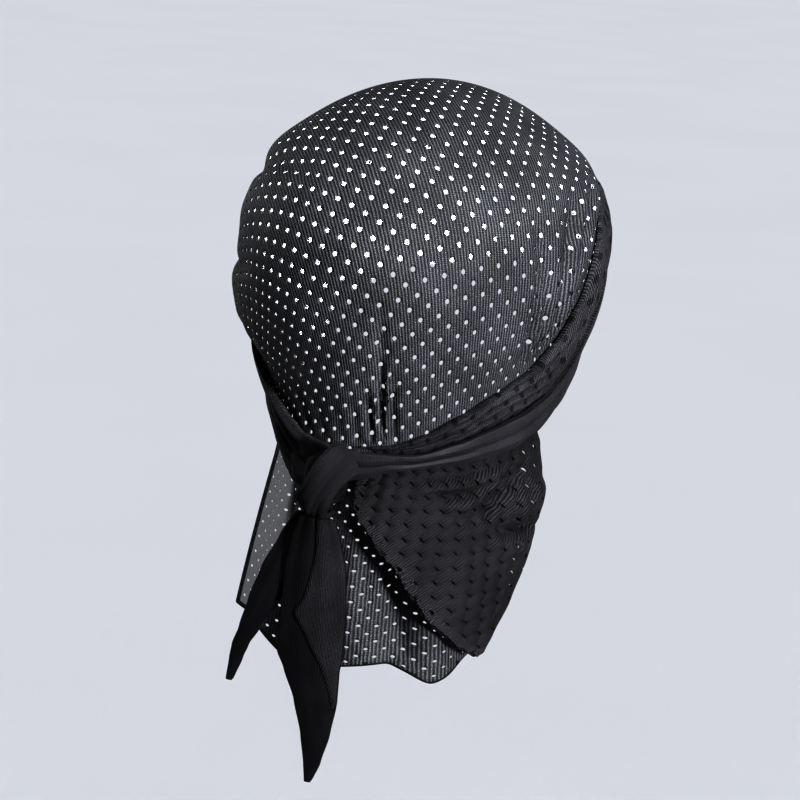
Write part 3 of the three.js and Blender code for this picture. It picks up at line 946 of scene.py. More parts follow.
            # Painted shade: the colour is darkened in the middle of each dimple, where the pit is
            # deepest.
            shade = nodes.math("MULTIPLY", shade, nodes.ramp(pit_and_painted_shade, 0.0, 1.0, 0.25, 1.0))
        nodes.colour(self.colour, shade)
        nodes.link(nodes.ramp(weave, 0.35, 0.85, self.roughness + 0.17,
                              self.roughness - 0.1), shader.inputs["Roughness"])
        shader.inputs["Specular IOR Level"].default_value = self.gloss
        shader.inputs["Sheen Weight"].default_value = self.sheen
        shader.inputs["Sheen Roughness"].default_value = 0.45
        shader.inputs["Sheen Tint"].default_value = (0.75, 0.76, 0.82, 1.0)
        bump = nodes.add("ShaderNodeBump", {"Strength": self.rib_depth, "Distance": 0.0005})
        nodes.link(height, bump.inputs["Height"])
        nodes.link(bump.outputs[0], shader.inputs["Normal"])
        if self.clear:
            self._see_through(nodes, cloth)
        return nodes.material


class Cloth(Enum):
    """The kinds of black knit that the cap is sewn from."""

    PIERCED = KnitFinish("pierced_black_knit", brick=0.25)
    SHEER = KnitFinish("sheer_black_knit", brick=0.25, clear=0.08, clear_side=0.5)
    BRICK = KnitFinish("brick_black_knit", colour=(0.0034, 0.0034, 0.004), gloss=0.03, brick=1.3,
                       rib_pitch=0.1, rib_depth=0.7, grain=0.3)
    GATHERED = KnitFinish("gathered_black_knit", colour=(0.006, 0.006, 0.007), gloss=0.035,
                          dimple=1.0, brick=0.5, rib_pitch=0.08, rib_depth=0.6, grain=0.3)
    SMOOTH = KnitFinish("smooth_black_knit", colour=(0.0018, 0.0018, 0.0021), roughness=0.4,
                        sheen=0.003, gloss=0.01, rib_pitch=0.07, rib_depth=0.2)
    # Painted light: this copy of the smooth knit, used on the band, is coloured about three times
    # lighter than the SMOOTH copy on the tails, knot and hems, and has a little more gloss.
    GLOSSY_PAINTED_LIGHT = KnitFinish("glossy_black_knit_painted_light", colour=(0.0056, 0.0056, 0.0064), roughness=0.4,
                        sheen=0.003, gloss=0.02, rib_pitch=0.07, rib_depth=0.2)
    MATT = KnitFinish("matt_black_knit", colour=(0.0036, 0.0036, 0.0042), roughness=0.65,
                      sheen=0.006, gloss=0.018, rib_pitch=0.06, rib_depth=0.5, grain=0.3)
    SLUBBY = KnitFinish("slubby_black_edge", colour=(0.005, 0.005, 0.0058), roughness=0.65,
                        sheen=0.004, gloss=0.03, rib_pitch=0.1, rib_depth=1.0)


@dataclass(frozen=True)
class FloorFinish:
    """Plain pale floor with a faint unevenness."""

    colour: tuple[float, float, float] = (0.86, 0.865, 0.89)

    def make(self) -> bpy.types.Material:
        """Build the material.

        Returns:
            The material.
        """
        nodes = Nodes("pale_floor")
        place = nodes.add("ShaderNodeTexCoord").outputs["Object"]
        nodes.colour(self.colour, nodes.ramp(nodes.noise(place, 3.0, 2.0), 0.3, 0.7, 0.985, 1.0))
        nodes.shader.inputs["Roughness"].default_value = 0.9
        return nodes.material


# Crown


@dataclass
class Crown:
    """Stretched crown of pierced knit with puffs and gathers."""

    form: CapForm
    knit: Knit = Knit()
    centre: tuple[float, float] = (30.0, 60.0)
    course: tuple[float, float, float] = (0.75, 0.62, -0.21)
    reach: float = 236.0
    # Columns: bearing, height, half width in degrees, half height, most
    puffs: tuple[tuple[float, ...], ...] = (
        (-62, 62, 26, 9, 2.5), (-62, 42, 24, 12, 1.0), (-61, 4, 16, 10, 4.0),
        (-61, -22, 16, 15, 7.5), (108, 54, 22, 12, 5.5), (76, 8, 11, 24, 2.0),
    )
    # Columns: bearing, spread in degrees, upper end, most, pitch in degrees
    gathers: tuple[tuple[float, ...], ...] = (
        (50, 18, 30, 0.5, 6.5), (6, 24, 2, 0.5, 6.0), (-42, 18, 10, 0.9, 8.0),
    )
    folds: tuple[Fold, ...] = (
        Fold(-2.8, 1.9, ((68, 50), (69, 18), (70, -7), (69, -28)), 0.3, 20.0),
        Fold(1.0, 3.0, ((64.5, 44), (65.5, 15), (66, -8), (66, -26)), 0.0, 22.0),
        Fold(2.0, 1.3, ((68.5, 40), (70.6, 14), (72, -6), (71, -27)), 0.0, 16.0),
        Fold(-1.8, 1.2, ((69, 38), (72, 13), (74, -1), (74, -13), (72, -26)), 0.0, 14.0),
        Fold(1.6, 2.4, ((78, 50), (76, 20), (77, 0), (75, -22)), 0.0, 18.0),
        Fold(-3.4, 2.0, ((88, 56), (80.5, 29), (80, 14), (80, 0), (79, -12), (75, -26)), 0.3, 18.0),
        Fold(2.4, 2.0, ((96, 58), (85.5, 28), (84.5, 10), (84, -6), (79, -22)), 0.0, 18.0),
        Fold(-3.0, 2.2, ((104, 58), (90, 28), (88.5, 12), (88.5, 0), (85, -12), (78, -24)), 0.3, 18.0),
        Fold(1.8, 3.6, ((112, 56), (98, 30), (94, 12)), 0.0, 18.0),
        Fold(-2.6, 1.5, ((20, 16), (20, -21), (19.5, -40), (20, -62)), 0.3, 26.0),
        Fold(2.1, 1.3, ((18, -26), (17.5, -45), (18.5, -62))),
        Fold(-2.2, 1.3, ((15.5, -32), (15.5, -46), (17, -62))),
        Fold(2.2, 1.4, ((22.3, -14), (22, -42), (22.5, -62)), 0.0, 16.0),
        Fold(-2.0, 1.3, ((24.5, -22), (24, -42), (25, -62))),
        Fold(0.9, 1.6, ((13, -38), (14, -62))),
        Fold(0.9, 1.8, ((27, -32), (27.5, -60))),
        Fold(-0.9, 1.6, ((9, -32), (10, -64))),
        Fold(-0.9, 1.6, ((1, -38), (3, -64))),
        Fold(-0.9, 1.8, ((-8, -36), (-5, -64))),
        Fold(-0.8, 2.0, ((-17, -34), (-13, -60))),
        Fold(-2.8, 3.2, ((-76, 46), (-62, 50), (-47, 56), (-35, 60), (-22, 61), (-6, 57)), 0.3, 26.0),
        Fold(1.0, 6.0, ((-66, 62), (-40, 70), (-16, 71)), 0.0, 30.0),
        Fold(-2.2, 3.0, ((-86, 24), (-62, 13), (-46, 11), (-30, 15)), 0.0, 24.0),
        Fold(0.8, 5.0, ((-78, 36), (-50, 36), (-20, 44)), 0.0, 26.0),
        Fold(-0.7, 3.5, ((40, 80), (52, 62), (60, 40)), 0.0, 20.0),
    )

    def swell(self, bearing: Array, height: Array) -> Array:
        """How far the crown stands out of the form.

        Args:
            bearing: Bearings in degrees.
            height: Heights in millimetres.

        Returns:
            The swell at each place in millimetres.
        """
        top = self.form.roll_top(bearing)
        out = np.zeros_like(height)
        for middle, level, wide, tall, most in self.puffs:
            out += most * bell(wrapped(bearing - middle), wide) * bell(height - level, tall)
        for middle, spread, reach, most, pitch in self.gathers:
            turn = wrapped(bearing - middle)
            side = np.sqrt(smooth(1.0 - np.abs(turn) / spread))
            fade = smooth((reach - height) / (reach - top))
            lean = turn + 0.06 * (height - top)
            ridge = 0.5 + 0.5 * np.cos(2.0 * math.pi * lean / pitch)
            out += most * ridge * side * fade
        out *= smooth((height - top - 4.0) / 14.0)
        for fold in self.folds:
            out += fold.rise(bearing, height) * smooth((height - top + 3.0) / 7.0)
        return out

    def build(self, finish: bpy.types.Material) -> bpy.types.Object:
        """Build the crown.

        Args:
            finish: Its material.

        Returns:
            The crown.
        """
        form = self.form
        lay = FlatLay(form, *self.centre, Vector(self.course))

        def inside(flat: Array) -> Array:
            """Whether the cloth reaches flat places, with a margin."""
            bearing, height = lay.bearings(flat)
            near = np.hypot(flat[:, 0], flat[:, 1]) < self.reach
            return near & (height > form.rim(bearing) - 7.0)

        span = (-self.reach, -self.reach), (self.reach, self.reach)
        bm = self.knit.cloth(*span, inside)
        bearing, height = lay.bearings(flat_places(bm))
        trim(bm, height > form.rim(bearing))
        flat = flat_places(bm)
        chart(bm, "Cloth", flat / 10.0)
        bearing, height = lay.bearings(flat)
        height = np.maximum(height, form.rim(bearing))
        lift = CROWN_LIFT + self.swell(bearing, height)
        move_to(bm, form.point(bearing, height, lift))
        bmesh.ops.recalc_face_normals(bm, faces=bm.faces)
        piece = Piece("pierced_crown", "crown", "pierced_knit", finish, KNIT_PLY).make(bm)
        area = cloth_area(piece)
        return piece


# Headband and roll


@dataclass
class Headband:
    """Smooth headband of two long swells with a crease, and the gathered roll above it."""

    form: CapForm
    outer: Table = field(default_factory=lambda: Table(
        "up out", (0, 0.5), (0.06, 0.8), (0.25, 1), (0.42, 0.8), (0.48, 0.5), (0.54, 0.78),
        (0.7, 0.95), (0.85, 0.92), (0.95, 0.85), (1, 0.75), round_off=0.6,
    ))
    section: Table = field(default_factory=lambda: Table(
        "place up out face lip",
        (0, 0, 0, 0, 1), (0.05, 0, 0, 0, 1), (0.1, 0, 0, 0, 0), (0.3, 1, 0, 0, 0),
        (0.34, 1, 0.45, 0, 0), (0.4, 0.96, 0.8, 1, 0), (0.5, 0.8, 0.97, 1, 0), (0.62, 0.5, 1, 1, 0),
        (0.76, 0.16, 0.96, 1, 0), (0.82, 0.04, 0.85, 0.6, 0), (0.86, 0, 0.45, 0, 0),
        (0.93, 0, 0.4, 0, 0.9), (0.96, 0, 0.38, 0, 1), (1, 0, 0, 0, 1), round_off=0.4,
    ))
    fingers: tuple[Fold, ...] = (
        Fold(2.2, 1.7, ((-36, -43), (-28, -51), (-21, -58), (-14, -62)), 0.0, 7.0, 1.3),
        Fold(-1.8, 1.6, ((-34, -49), (-27, -57), (-21, -63), (-15, -67)), 0.0, 7.0, 1.3),
        Fold(-1.5, 2.0, ((-9, -60), (-5, -68), (-7, -80)), 0.0, 8.0, 1.3),
        Fold(1.0, 2.6, ((-22, -66), (-20, -76), (-19, -84)), 0.0, 6.0, 1.3),
    )
    inner: float = 0.3
    folds: float = 3.6
    lip: float = 4.0
    lip_start: float = 14.0
    lip_end: float = 100.0

    def band(self, finish: bpy.types.Material) -> bpy.types.Object:
        """Build the band.

        Args:
            finish: Its material.

        Returns:
            The band.
        """
        form = self.form
        bm, around, section = grid(360, 44)
        bearing = around * 360.0 - 180.0
        low = form.band_low(bearing)
        high = form.band_top(bearing) - PLY_GAP
        inner, outer = section < self.inner, section > self.inner
        back = np.clip(section / self.inner, 0.0, 1.0)
        front = np.clip((section - self.inner) / (1.0 - self.inner), 0.0, 1.0)
        up = np.where(inner, back, 1.0 - front)
        out = np.where(inner, 0.0, self.outer.at("out", 1.0 - front))
        out *= np.where(inner, 1.0, smooth(front / 0.025) * smooth((1.0 - front) / 0.025))
        height = mix(low, high, up)
        ridge = sum(fold.rise(bearing, height) for fold in self.fingers) * outer
        wrinkle = 0.09 * np.sin(np.radians(bearing * 9.0 + 160.0 * up)) * bell(up - 0.75, 0.2)
        wrinkle += 0.06 * np.sin(np.radians(bearing * 17.0 - 120.0 * up))
        out = out * (1.0 + wrinkle * outer)
        swell = np.maximum(BAND_THICKNESS * out + ridge * smooth(out / 0.3), 0.0)
        chart(bm, "Cloth", np.stack([bearing / 180.0 * math.pi * 8.0, up * 3.0], axis=-1))
        move_to(bm, form.point(bearing, height, form.band_seat(bearing) + swell))
        bmesh.ops.remove_doubles(bm, verts=bm.verts, dist=1e-6)
        bmesh.ops.recalc_face_normals(bm, faces=bm.faces)
        piece = Piece("smooth_band", "headband", "smooth_knit", finish).make(bm)
        return piece

    def roll(self, finish: bpy.types.Material) -> bpy.types.Object:
        """Build the gathered roll.

        Args:
            finish: Its material.

        Returns:
            The roll.
        """
        form = self.form
        bm, along, section = grid(420, 40)
        bearing = mix(form.roll_start, form.roll_end, along)
        low = form.band_top(bearing) + PLY_GAP * 2.0
        high = form.roll_top(bearing)
        share = form.roll_share(bearing)
        full = ROLL_THICKNESS * mix(0.45, 1.0, share)
        up = self.section.at("up", section)
        face = self.section.at("face", section)
        drift = 0.35 * np.sin(np.radians(bearing * 4.3)) + 0.2 * np.sin(np.radians(bearing * 9.7))
        fold = np.sin(2.0 * math.pi * (self.folds * up + drift))
        pucker = np.sin(np.radians(bearing * 31.0 + 200.0 * up))
        out = full * self.section.at("out", section) * (1.0 + face * (0.2 * fold + 0.05 * pucker))
        lip = self.section.at("lip", section) * self.lip
        lip *= np.minimum(smooth((bearing - self.lip_start) / 10.0),
                          smooth((self.lip_end - bearing) / 10.0))
        lift = form.crown_seat(bearing) + out
        places = np.stack([bearing / 180.0 * math.pi * 8.5, up * (high - low) / 10.0], axis=-1)
        chart(bm, "Cloth", places)
        chart(bm, "Lattice", places @ np.array([[1.1, -1.1], [1.0, 1.0]]))
        move_to(bm, form.point(bearing, mix(low, high, up) - lip, lift))
        bmesh.ops.remove_doubles(bm, verts=bm.verts, dist=1e-6)
        bmesh.ops.holes_fill(bm, edges=[e for e in bm.edges if e.is_boundary], sides=0)
        bmesh.ops.recalc_face_normals(bm, faces=bm.faces)
        piece = Piece("gathered_roll", "gather_roll", "pierced_knit", finish).make(bm)
        return piece


# Nape curtain


@dataclass
class Curtain:
    """Single ply of pierced knit that hangs from the band, with a rolled hem."""

    form: CapForm
    drop: float = 162.0
    flare: float = 22.0
    girth: float = 64.0
    left: float = -50.0
    right: float = 76.0
    blur: float = 3.5
    knit: Knit = Knit(course=(7.2, 0.0), wale=(0.0, 7.0), hole=0.135, slit=(1.25, 0.85))
    folds: tuple[Fold, ...] = (
        Fold(-2.6, 2.0, ((-25, -68), (-26, -82), (-25.5, -96), (-29, -118)), 0.0, 14.0, 1.1),
        Fold(1.6, 2.4, ((-20, -84), (-21, -100), (-24, -128)), 0.0, 16.0, 1.1),
        Fold(-1.6, 3.0, ((22, -84), (26, -110), (29, -138), (30, -160)), 0.0, 20.0, 1.1),
        Fold(1.8, 3.2, ((11, -88), (12, -112), (12, -136), (12, -160)), 0.0, 20.0, 1.1),
        Fold(-2.0, 2.6, ((17, -96), (17.5, -117), (20, -142)), 0.0, 16.0, 1.1),
        Fold(-2.8, 2.4, ((26, -100), (29, -128), (32, -147), (35, -164)), 0.3, 18.0, 1.1),
        Fold(1.8, 3.2, ((39, -128), (42, -142), (43, -165)), 0.0, 14.0, 1.1),
        Fold(1.2, 2.6, ((-8, -120), (-10, -140), (-12, -160)), 0.0, 14.0, 1.1),
        Fold(-1.4, 2.2, ((-15, -118), (-17, -140), (-18, -156)), 0.0, 14.0, 1.1),
    )
    rows: Table = field(default_factory=lambda: Table(
        "bearing hem flare drop belly",
        (-50, -46, 0.9, 0.914, 0.03), (-41, -39, 0.72, 0.92, -0.05), (-32, -32, 0.7, 0.935, 0.0),
        (-18, -16, 0.58, 0.99, -0.04), (-4, -5, 0.46, 1.0, 0.02), (10, 8, 0.44, 0.988, 0.05),
        (19, 18, 0.52, 0.972, 0.05), (28, 27, 0.38, 0.966, -0.04), (34, 34, 0.68, 0.985, 0.02),
        (41, 41, 0.78, 1.016, 0.03), (47, 47, 0.68, 1.0, 0.04), (54, 53, 0.5, 0.965, 0.02),
        (60, 58, 0.42, 0.945, 0.0), (76, 70, 0.36, 0.885, 0.0), round_off=0.3,
    ))

    def top(self, bearing: Array) -> Array:
        """Upper edge of the curtain, tucked under the band, at each bearing."""
        low = self.form.band_low(bearing)
        return np.minimum(self.form.rim(bearing) - PLY_GAP * 2.0, low + 7.0)

    def shape(self, name: str, bearing: Array) -> Array:
        """Softened value of a column of the rows at each bearing."""
        return self.rows.soft(name, bearing, self.blur)

    def hem(self, bearing: Array) -> Array:
        """Height of the hem at each bearing."""
        return -self.drop * self.shape("drop", bearing)

    def lift(self, bearing: Array, height: Array) -> Array:
        """How far the curtain stands off the form.

        Args:
            bearing: Bearings in degrees, counted at the band.
            height: Heights in millimetres.

        Returns:
            The lift at each place in millimetres.
        """
        free = self.form.band_low(bearing) - PLY_GAP
        fall = np.clip((free - height) / (free - self.hem(bearing)), 0.0, 1.0)
        belly = self.shape("belly", bearing) * 4.0 * fall * (1.0 - fall)
        return self.flare * (self.shape("flare", bearing) * fall + belly)

    def place(self, bearing: Array, fall: Array, out: float) -> Array:
        """Points of the curtain.

        Args:
            bearing: Bearings at the band in degrees.
            fall: Share of the way from the upper edge to the hem.
            out: Distance out of the inner face in millimetres.

        Returns:
            The points in millimetres.
        """
        height = mix(self.top(bearing), self.hem(bearing), fall)
        turned = mix(bearing, self.shape("hem", bearing), fall)
        crease = sum(fold.rise(bearing, height) for fold in self.folds)
        lift = np.maximum(self.lift(bearing, height) + crease, 0.0)
        return self.form.point(turned, height, lift + out)

    def build(self, finish: bpy.types.Material, edge: bpy.types.Material) -> list[bpy.types.Object]:
        """Build the curtain and its hem.

        Args:
            finish: Material of the knit.
            edge: Material of the hem.

        Returns:
            The curtain and the hem.
        """
        degree = self.girth * math.pi / 180.0

        def spread(flat: Array) -> tuple[Array, Array]:
            """Bearing and fall of flat places, whose second number counts down."""
            bearing = flat[:, 0] / degree
            top = self.top(bearing)
            return bearing, (top + flat[:, 1]) / (top - self.hem(bearing))

        def inside(flat: Array) -> Array:
            """Whether the cloth reaches flat places, with a margin."""
            bearing, fall = spread(flat)
            near = (bearing > self.left - 4) & (bearing < self.right + 4)
            return near & (fall > -0.08) & (fall < 1.06)

        bm = self.knit.cloth(((self.left - 6) * degree, 50.0), ((self.right + 6) * degree, 172.0),
                             inside)
        bearing, fall = spread(flat_places(bm))
        trim(bm, (bearing > self.left) & (bearing < self.right) & (fall > 0) & (fall < 1))
        flat = flat_places(bm)
        chart(bm, "Cloth", flat / 10.0)
        bearing, fall = spread(flat)
        bearing, fall = np.clip(bearing, self.left, self.right), np.clip(fall, 0, 1)
        move_to(bm, self.place(bearing, fall, CROWN_LIFT))
        bmesh.ops.recalc_face_normals(bm, faces=bm.faces)
        piece = Piece("pierced_curtain", "nape_curtain", "pierced_knit", finish, KNIT_PLY).make(bm)
        down = np.linspace(0.1, 1.0, 40)
        low = np.linspace(self.left, self.right, 160)
        line = np.concatenate([
            self.place(np.full_like(down, self.left), down, 0.7),
            self.place(low, np.ones_like(low), 0.7),
            self.place(np.full_like(down, self.right), down[::-1], 0.7),
        ])
        hem = rolled_edge(Piece("curtain_hem", "", "smooth_knit", edge), line, 0.95)
        area = cloth_area(piece)
        return [piece, hem]


# Folded flap


@dataclass
class Flap:
    """Doubled corner of the knit, folded up over the right side of the curtain."""

    form: CapForm
    curtain: Curtain
    drop: float = 151.0
    stand: float = 20.0
    first: float = 0.395
    girth: float = 72.0
    knit: Knit = Knit(course=(8.1, 5.7), wale=(-6.7, 6.5), hole=0.15, slit=(0.5, 1.4))
    brick: float = 0.8
    strip: float = 4.2
    rows: Table = field(default_factory=lambda: Table(
        "drop left right left_stand right_stand",
        (1.0, 53.5, 57.5, 0.97, 0.81), (0.955, 46.5, 61.5, 1.0, 0.71), (0.865, 37, 69, 0.96, 0.61),
        (0.75, 29, 77, 0.8, 0.53), (0.645, 19.5, 84, 0.65, 0.43), (0.575, 13, 88.5, 0.48, 0.33),
        (0.52, 11, 89.5, 0.36, 0.23), (0.47, 10.5, 89, 0.24, 0.1), (0.43, 10.5, 87, 0.1, 0.0),
        (0.395, 11, 86, 0.0, 0.0),
    ))
    folds: tuple[Fold, ...] = (
        Fold(-5.6, 2.6, ((57, -93), (62, -85), (69, -80), (75, -76), (77, -69)), 0.3, 7.0, 1.25),
        Fold(3.8, 4.0, ((68, -92), (75, -90), (83, -87), (86, -78)), 0.0, 6.0, 1.25),
        Fold(-4.6, 2.2, ((60, -95), (67, -99), (75, -101), (84, -98)), 0.2, 7.0, 1.25),
        Fold(2.4, 3.0, ((58, -101), (68, -106), (80, -107)), 0.0, 8.0, 1.25),
        Fold(2.0, 1.6, ((24, -70), (42, -67), (57, -67), (69, -64)), 0.0, 9.0, 1.25),
        Fold(-2.4, 1.4, ((29, -71), (38, -71), (54, -71), (64, -69), (73, -66)), 0.0, 9.0, 1.25),
        Fold(2.1, 1.6, ((32, -75), (46, -75), (58, -74), (69, -71)), 0.0, 9.0, 1.25),
        Fold(-2.2, 1.4, ((37, -77), (44, -79), (54, -79), (64, -75)), 0.0, 8.0, 1.25),
        Fold(2.0, 1.9, ((40, -83), (50, -84), (60, -80), (69, -73)), 0.0, 9.0, 1.25),
        Fold(-1.8, 2.0, ((46, -90), (55, -91), (60, -88)), 0.0, 7.0, 1.25),
        Fold(1.6, 9.0, ((40, -104), (50, -118), (56, -132)), 0.0, 16.0, 1.25),
    )

    def place(self, across: Array, drop: Array, out: float) -> Array:
        """Points of the flap.

        Args:
            across: Share from the left edge to the right edge.
            drop: Level as a share of the flap's drop.
            out: Distance out of the inner face in millimetres.

        Returns:
            The points in millimetres.
        """
        form = self.form
        bearing = mix(self.rows.at("left", drop), self.rows.at("right", drop), across)
        low = form.band_low(bearing)
        top = np.minimum(form.edge("roll_low", bearing) - PLY_GAP * 5.0, low + 5.0)
        lowered = top - self.drop * (drop - self.first)
        height = mix(-self.drop * drop, lowered, bell(drop - self.first, 0.07))
        clear = self.curtain.lift(bearing, height) + SEAT
        drape = sum(fold.rise(bearing, height) for fold in self.folds)
        drape *= smooth((low - 1.0 - height) / 4.0)
        stand = mix(self.rows.at("left_stand", drop), self.rows.at("right_stand", drop), across)
        stand = self.stand * stand * smooth((low - height) / 10.0) + drape
        return form.point(bearing, height, np.maximum(SEAT + stand, clear) + out)

    def relief(self, flat: Array) -> Array:
        """How far the brick-like floats of the knit stand out.

        Args:
            flat: Places on the flat cloth in millimetres.

        Returns:
            The relief at each place in millimetres.
        """
        basis = self.knit.basis()
        cells = flat @ np.linalg.inv(basis)
        off = (cells - np.round(cells)) @ basis
        course, wale = np.array(self.knit.course), np.array(self.knit.wale)
        long, tall = math.hypot(*course), math.hypot(*wale)
        along = np.abs(off @ course / long) / (0.46 * long)
        up = np.abs(off @ wale / tall) / (0.235 * tall)
        brick = np.clip(1.0 - along ** 4, 0.0, 1.0) * np.clip(1.0 - up ** 3, 0.0, 1.0)
        return self.brick * brick

    def lumps(self, flat: Array) -> Array:
        """Lumps of the slubby strip along the left edge at each flat place."""
        x, y = flat[:, 0], flat[:, 1]
        waves = np.sin(x * 3.1 + np.sin(y * 2.3) * 1.7) + np.sin(y * 3.9 + np.sin(x * 1.9 + y) * 2.1)
        return 0.8 + 0.28 * waves

    def spread(self, flat: Array) -> tuple[Array, Array, Array]:
        """Where flat places lie on the flap.

        Args:
            flat: Places on the flat cloth in millimetres.

        Returns:
            Share from the left edge to the right edge, share of the drop, and width.
        """
        degree = self.girth * math.pi / 180.0
        drop = -flat[:, 1] / self.drop
        left, right = self.rows.at("left", drop), self.rows.at("right", drop)
        return (flat[:, 0] / degree - left) / (right - left), drop, (right - left) * degree

    def ply(self, piece: Piece, out: float, reach: float, edge: bpy.types.Material
            ) -> bpy.types.Object:
        """Build one ply. The outer one has bricks and the slubby strip, the inner one is plain.

        Args:
            piece: Name, node, slot and material of the ply.
            out: Distance out of the flap's inner face in millimetres.
            reach: Share of the flap's width that the ply covers.
            edge: Material of the slubby strip.

        Returns:
            The ply.
        """
        outer = bool(piece.node)
        offset = np.array(self.knit.wale) / 2.0 * (not outer)

        def inside(flat: Array) -> Array:
            """Whether the cloth reaches flat places, with a margin."""
            across, drop, wide = self.spread(flat + offset)
            margin = 6.0 / wide
            return ((across > -margin) & (across < reach + margin)
                    & (drop > self.first - 0.05) & (drop < 1.04))

        far = 104 * self.girth * math.pi / 180.0
        bm = self.knit.cloth((0.0, -self.drop * 1.1), (far, -42.0), inside, 4 if outer else 1)
        across, drop, _wide = self.spread(flat_places(bm) + offset)
        trim(bm, (across > 0) & (across < reach) & (drop > self.first) & (drop < 1))
        flat = flat_places(bm) + offset
        turn = np.array(self.knit.course) / math.hypot(*self.knit.course)
        chart(bm, "Cloth", np.stack([flat @ (-turn[1], turn[0]), flat @ turn], axis=-1) / 10.0)
        across, drop, wide = self.spread(flat)
        across, drop = np.clip(across, 0, reach), np.clip(drop, self.first, 1)
        if outer:
            strip = 1.0 - smooth((across * wide - self.strip) / 0.7)
            fade = smooth((1.0 - across) * wide / 9.0)
            out = out + mix(self.relief(flat) * fade, self.lumps(flat), strip)
            paint(bm, strip, 0.5)
        move_to(bm, self.place(across, drop, out))
        bmesh.ops.recalc_face_normals(bm, faces=bm.faces)
        made = piece.make(bm)
        made.data.materials.append(edge)
        return made

    def build(self, finish: bpy.types.Material, edge: bpy.types.Material) -> list[bpy.types.Object]:
        """Build the flap's two plies and its hem.

        Args:
            finish: Material of the knit.
            edge: Material of the hem.

        Returns:
            The outer ply, the inner ply and the hem.
        """
        outer = Piece("flap_outer_ply", "folded_flap", "pierced_knit", finish, 0.8)
        inner = Piece("flap_inner_ply", "", "pierced_knit", finish, 0.8)
        made = [self.ply(outer, FLAP_THICKNESS, 1.0, edge), self.ply(inner, 0.9, 0.84, edge)]
        side = np.linspace(0.42, 1.0, 60)
        low = np.linspace(0.0, 1.0, 8)
        line = np.concatenate([
            self.place(np.zeros_like(side), side, 1.3),
            self.place(low[1:-1], np.ones(6), 1.3),
            self.place(np.ones_like(side), side[::-1], 1.3),
        ])
        hem = rolled_edge(Piece("flap_hem", "", "smooth_knit", edge), line, 1.25)
        for piece in made:
            area = cloth_area(piece)
        return [*made, hem]


# Knot


@dataclass
class Knot:
    """Knot at the nape: a lumpy core, and the ply that crosses over it."""

    form: CapForm
    bearing: float = 3.2
    height: float = -71.0
    half_width: float = 10.5
    half_depth: float = 10.5
    half_height: float = 13.0
    tilt: float = -58.0
    lump: float = 0.05
    low_ring: float = -46.0
    high_ring: float = 16.0
    start: float = -20.0
    end: float = 200.0

    def centre(self) -> Array:
        """Middle of the knot in millimetres.

        Returns:
            The point.
        """
        bearing = np.array([self.bearing])
        back = self.form.band_seat(bearing) + BAND_THICKNESS
        foot = self.form.point(bearing, np.array([self.height]), back)[0]
        set_back = self.form.nape_set_back
        reach = math.hypot(foot[0], foot[1] - set_back)
        reach += PLY_GAP + self.half_depth * (1 + self.lump)
        angle = math.radians(self.bearing)
        return np.array([-reach * math.sin(angle), set_back + reach * math.cos(angle), self.height])

    def place(self, turn: Array, ring: Array, lift: Array) -> Array:
        """Points on the knot.

        Args:
            turn: Degrees round the line of the crossing ply.
            ring: Degrees along that line from the middle.
            lift: Distance out in millimetres.

        Returns:
            The points in millimetres.
        """
        angle, tilt = np.radians(turn), math.radians(self.tilt)
        girth, along = np.cos(np.radians(ring)), np.sin(np.radians(ring))
        across = girth * np.cos(angle)
        lump = 1 + self.lump * np.sin(angle * 3 + along * 2)
        side = across * math.cos(tilt) - along * math.sin(tilt)
        up = across * math.sin(tilt) + along * math.cos(tilt)
        centre = self.centre()
        return np.stack([
            centre[0] + (self.half_width * lump + lift) * side,
            centre[1] + (self.half_depth * lump + lift) * girth * np.sin(angle),
            centre[2] + (self.half_height * lump + lift) * up,
        ], axis=-1)

    def core(self, finish: bpy.types.Material) -> bpy.types.Object:
        """Build the core.

        Args:
            finish: Its material.

        Returns:
            The core.
        """
        bm = bmesh.new()
        bmesh.ops.create_uvsphere(bm, u_segments=72, v_segments=48, radius=1.0)
        unit = np.array([vert.co for vert in bm.verts])
        turn = np.degrees(np.arctan2(unit[:, 1], unit[:, 0]))
        ring = np.degrees(np.arcsin(np.clip(unit[:, 2], -1, 1)))
        up = self.place(turn, ring, 0.0)[:, 2] - self.height
        crease = 0.4 * np.sin(up * 1.9 + 0.6 * np.sin(np.radians(turn * 2.0))) * bell(up + 8.5, 4.5)
        crease += 0.25 * np.sin(np.radians(turn * 5.0 + ring * 2.0)) * np.cos(np.radians(ring))
        chart(bm, "Cloth", np.stack([turn / 60.0, ring / 60.0], axis=-1))
        move_to(bm, self.place(turn, ring, crease - 0.4))
        bmesh.ops.recalc_face_normals(bm, faces=bm.faces)
        piece = Piece("knot_heart", "knot_core", "smooth_knit", finish).make(bm)
        return piece

    def wrap(self, finish: bpy.types.Material) -> bpy.types.Object:
        """Build the crossing ply.

        Args:
            finish: Its material.

        Returns:
            The ply.
        """
        bm, along, across = grid(120, 36)
        turn = mix(self.start, self.end, along)
        ring = mix(self.low_ring, self.high_ring, across)
        pleat = 0.45 * np.sin(2.0 * math.pi * (across * 1.7 + 0.2 * np.sin(along * 5.0)))
        pleat += 0.15 * np.sin(2.0 * math.pi * (across * 5.0 + along * 1.3))
        pleat *= smooth(np.minimum(across, 1 - across) / 0.12)
        lift = PLY_GAP + WRAP_THICKNESS - 0.2 + pleat
        places = np.stack([along * 4.2, across * 2.4], axis=-1)
        chart(bm, "Cloth", places)
        chart(bm, "Lattice", places @ np.array([[1.3, -1.3], [1.5, 1.5]]))
        move_to(bm, self.place(turn, ring, lift))
        bmesh.ops.recalc_face_normals(bm, faces=bm.faces)
        piece = Piece("knot_ply", "knot_wrap", "pierced_knit", finish, 1.6, 1).make(bm)
        cloth_area(piece)
        return piece


# Tails


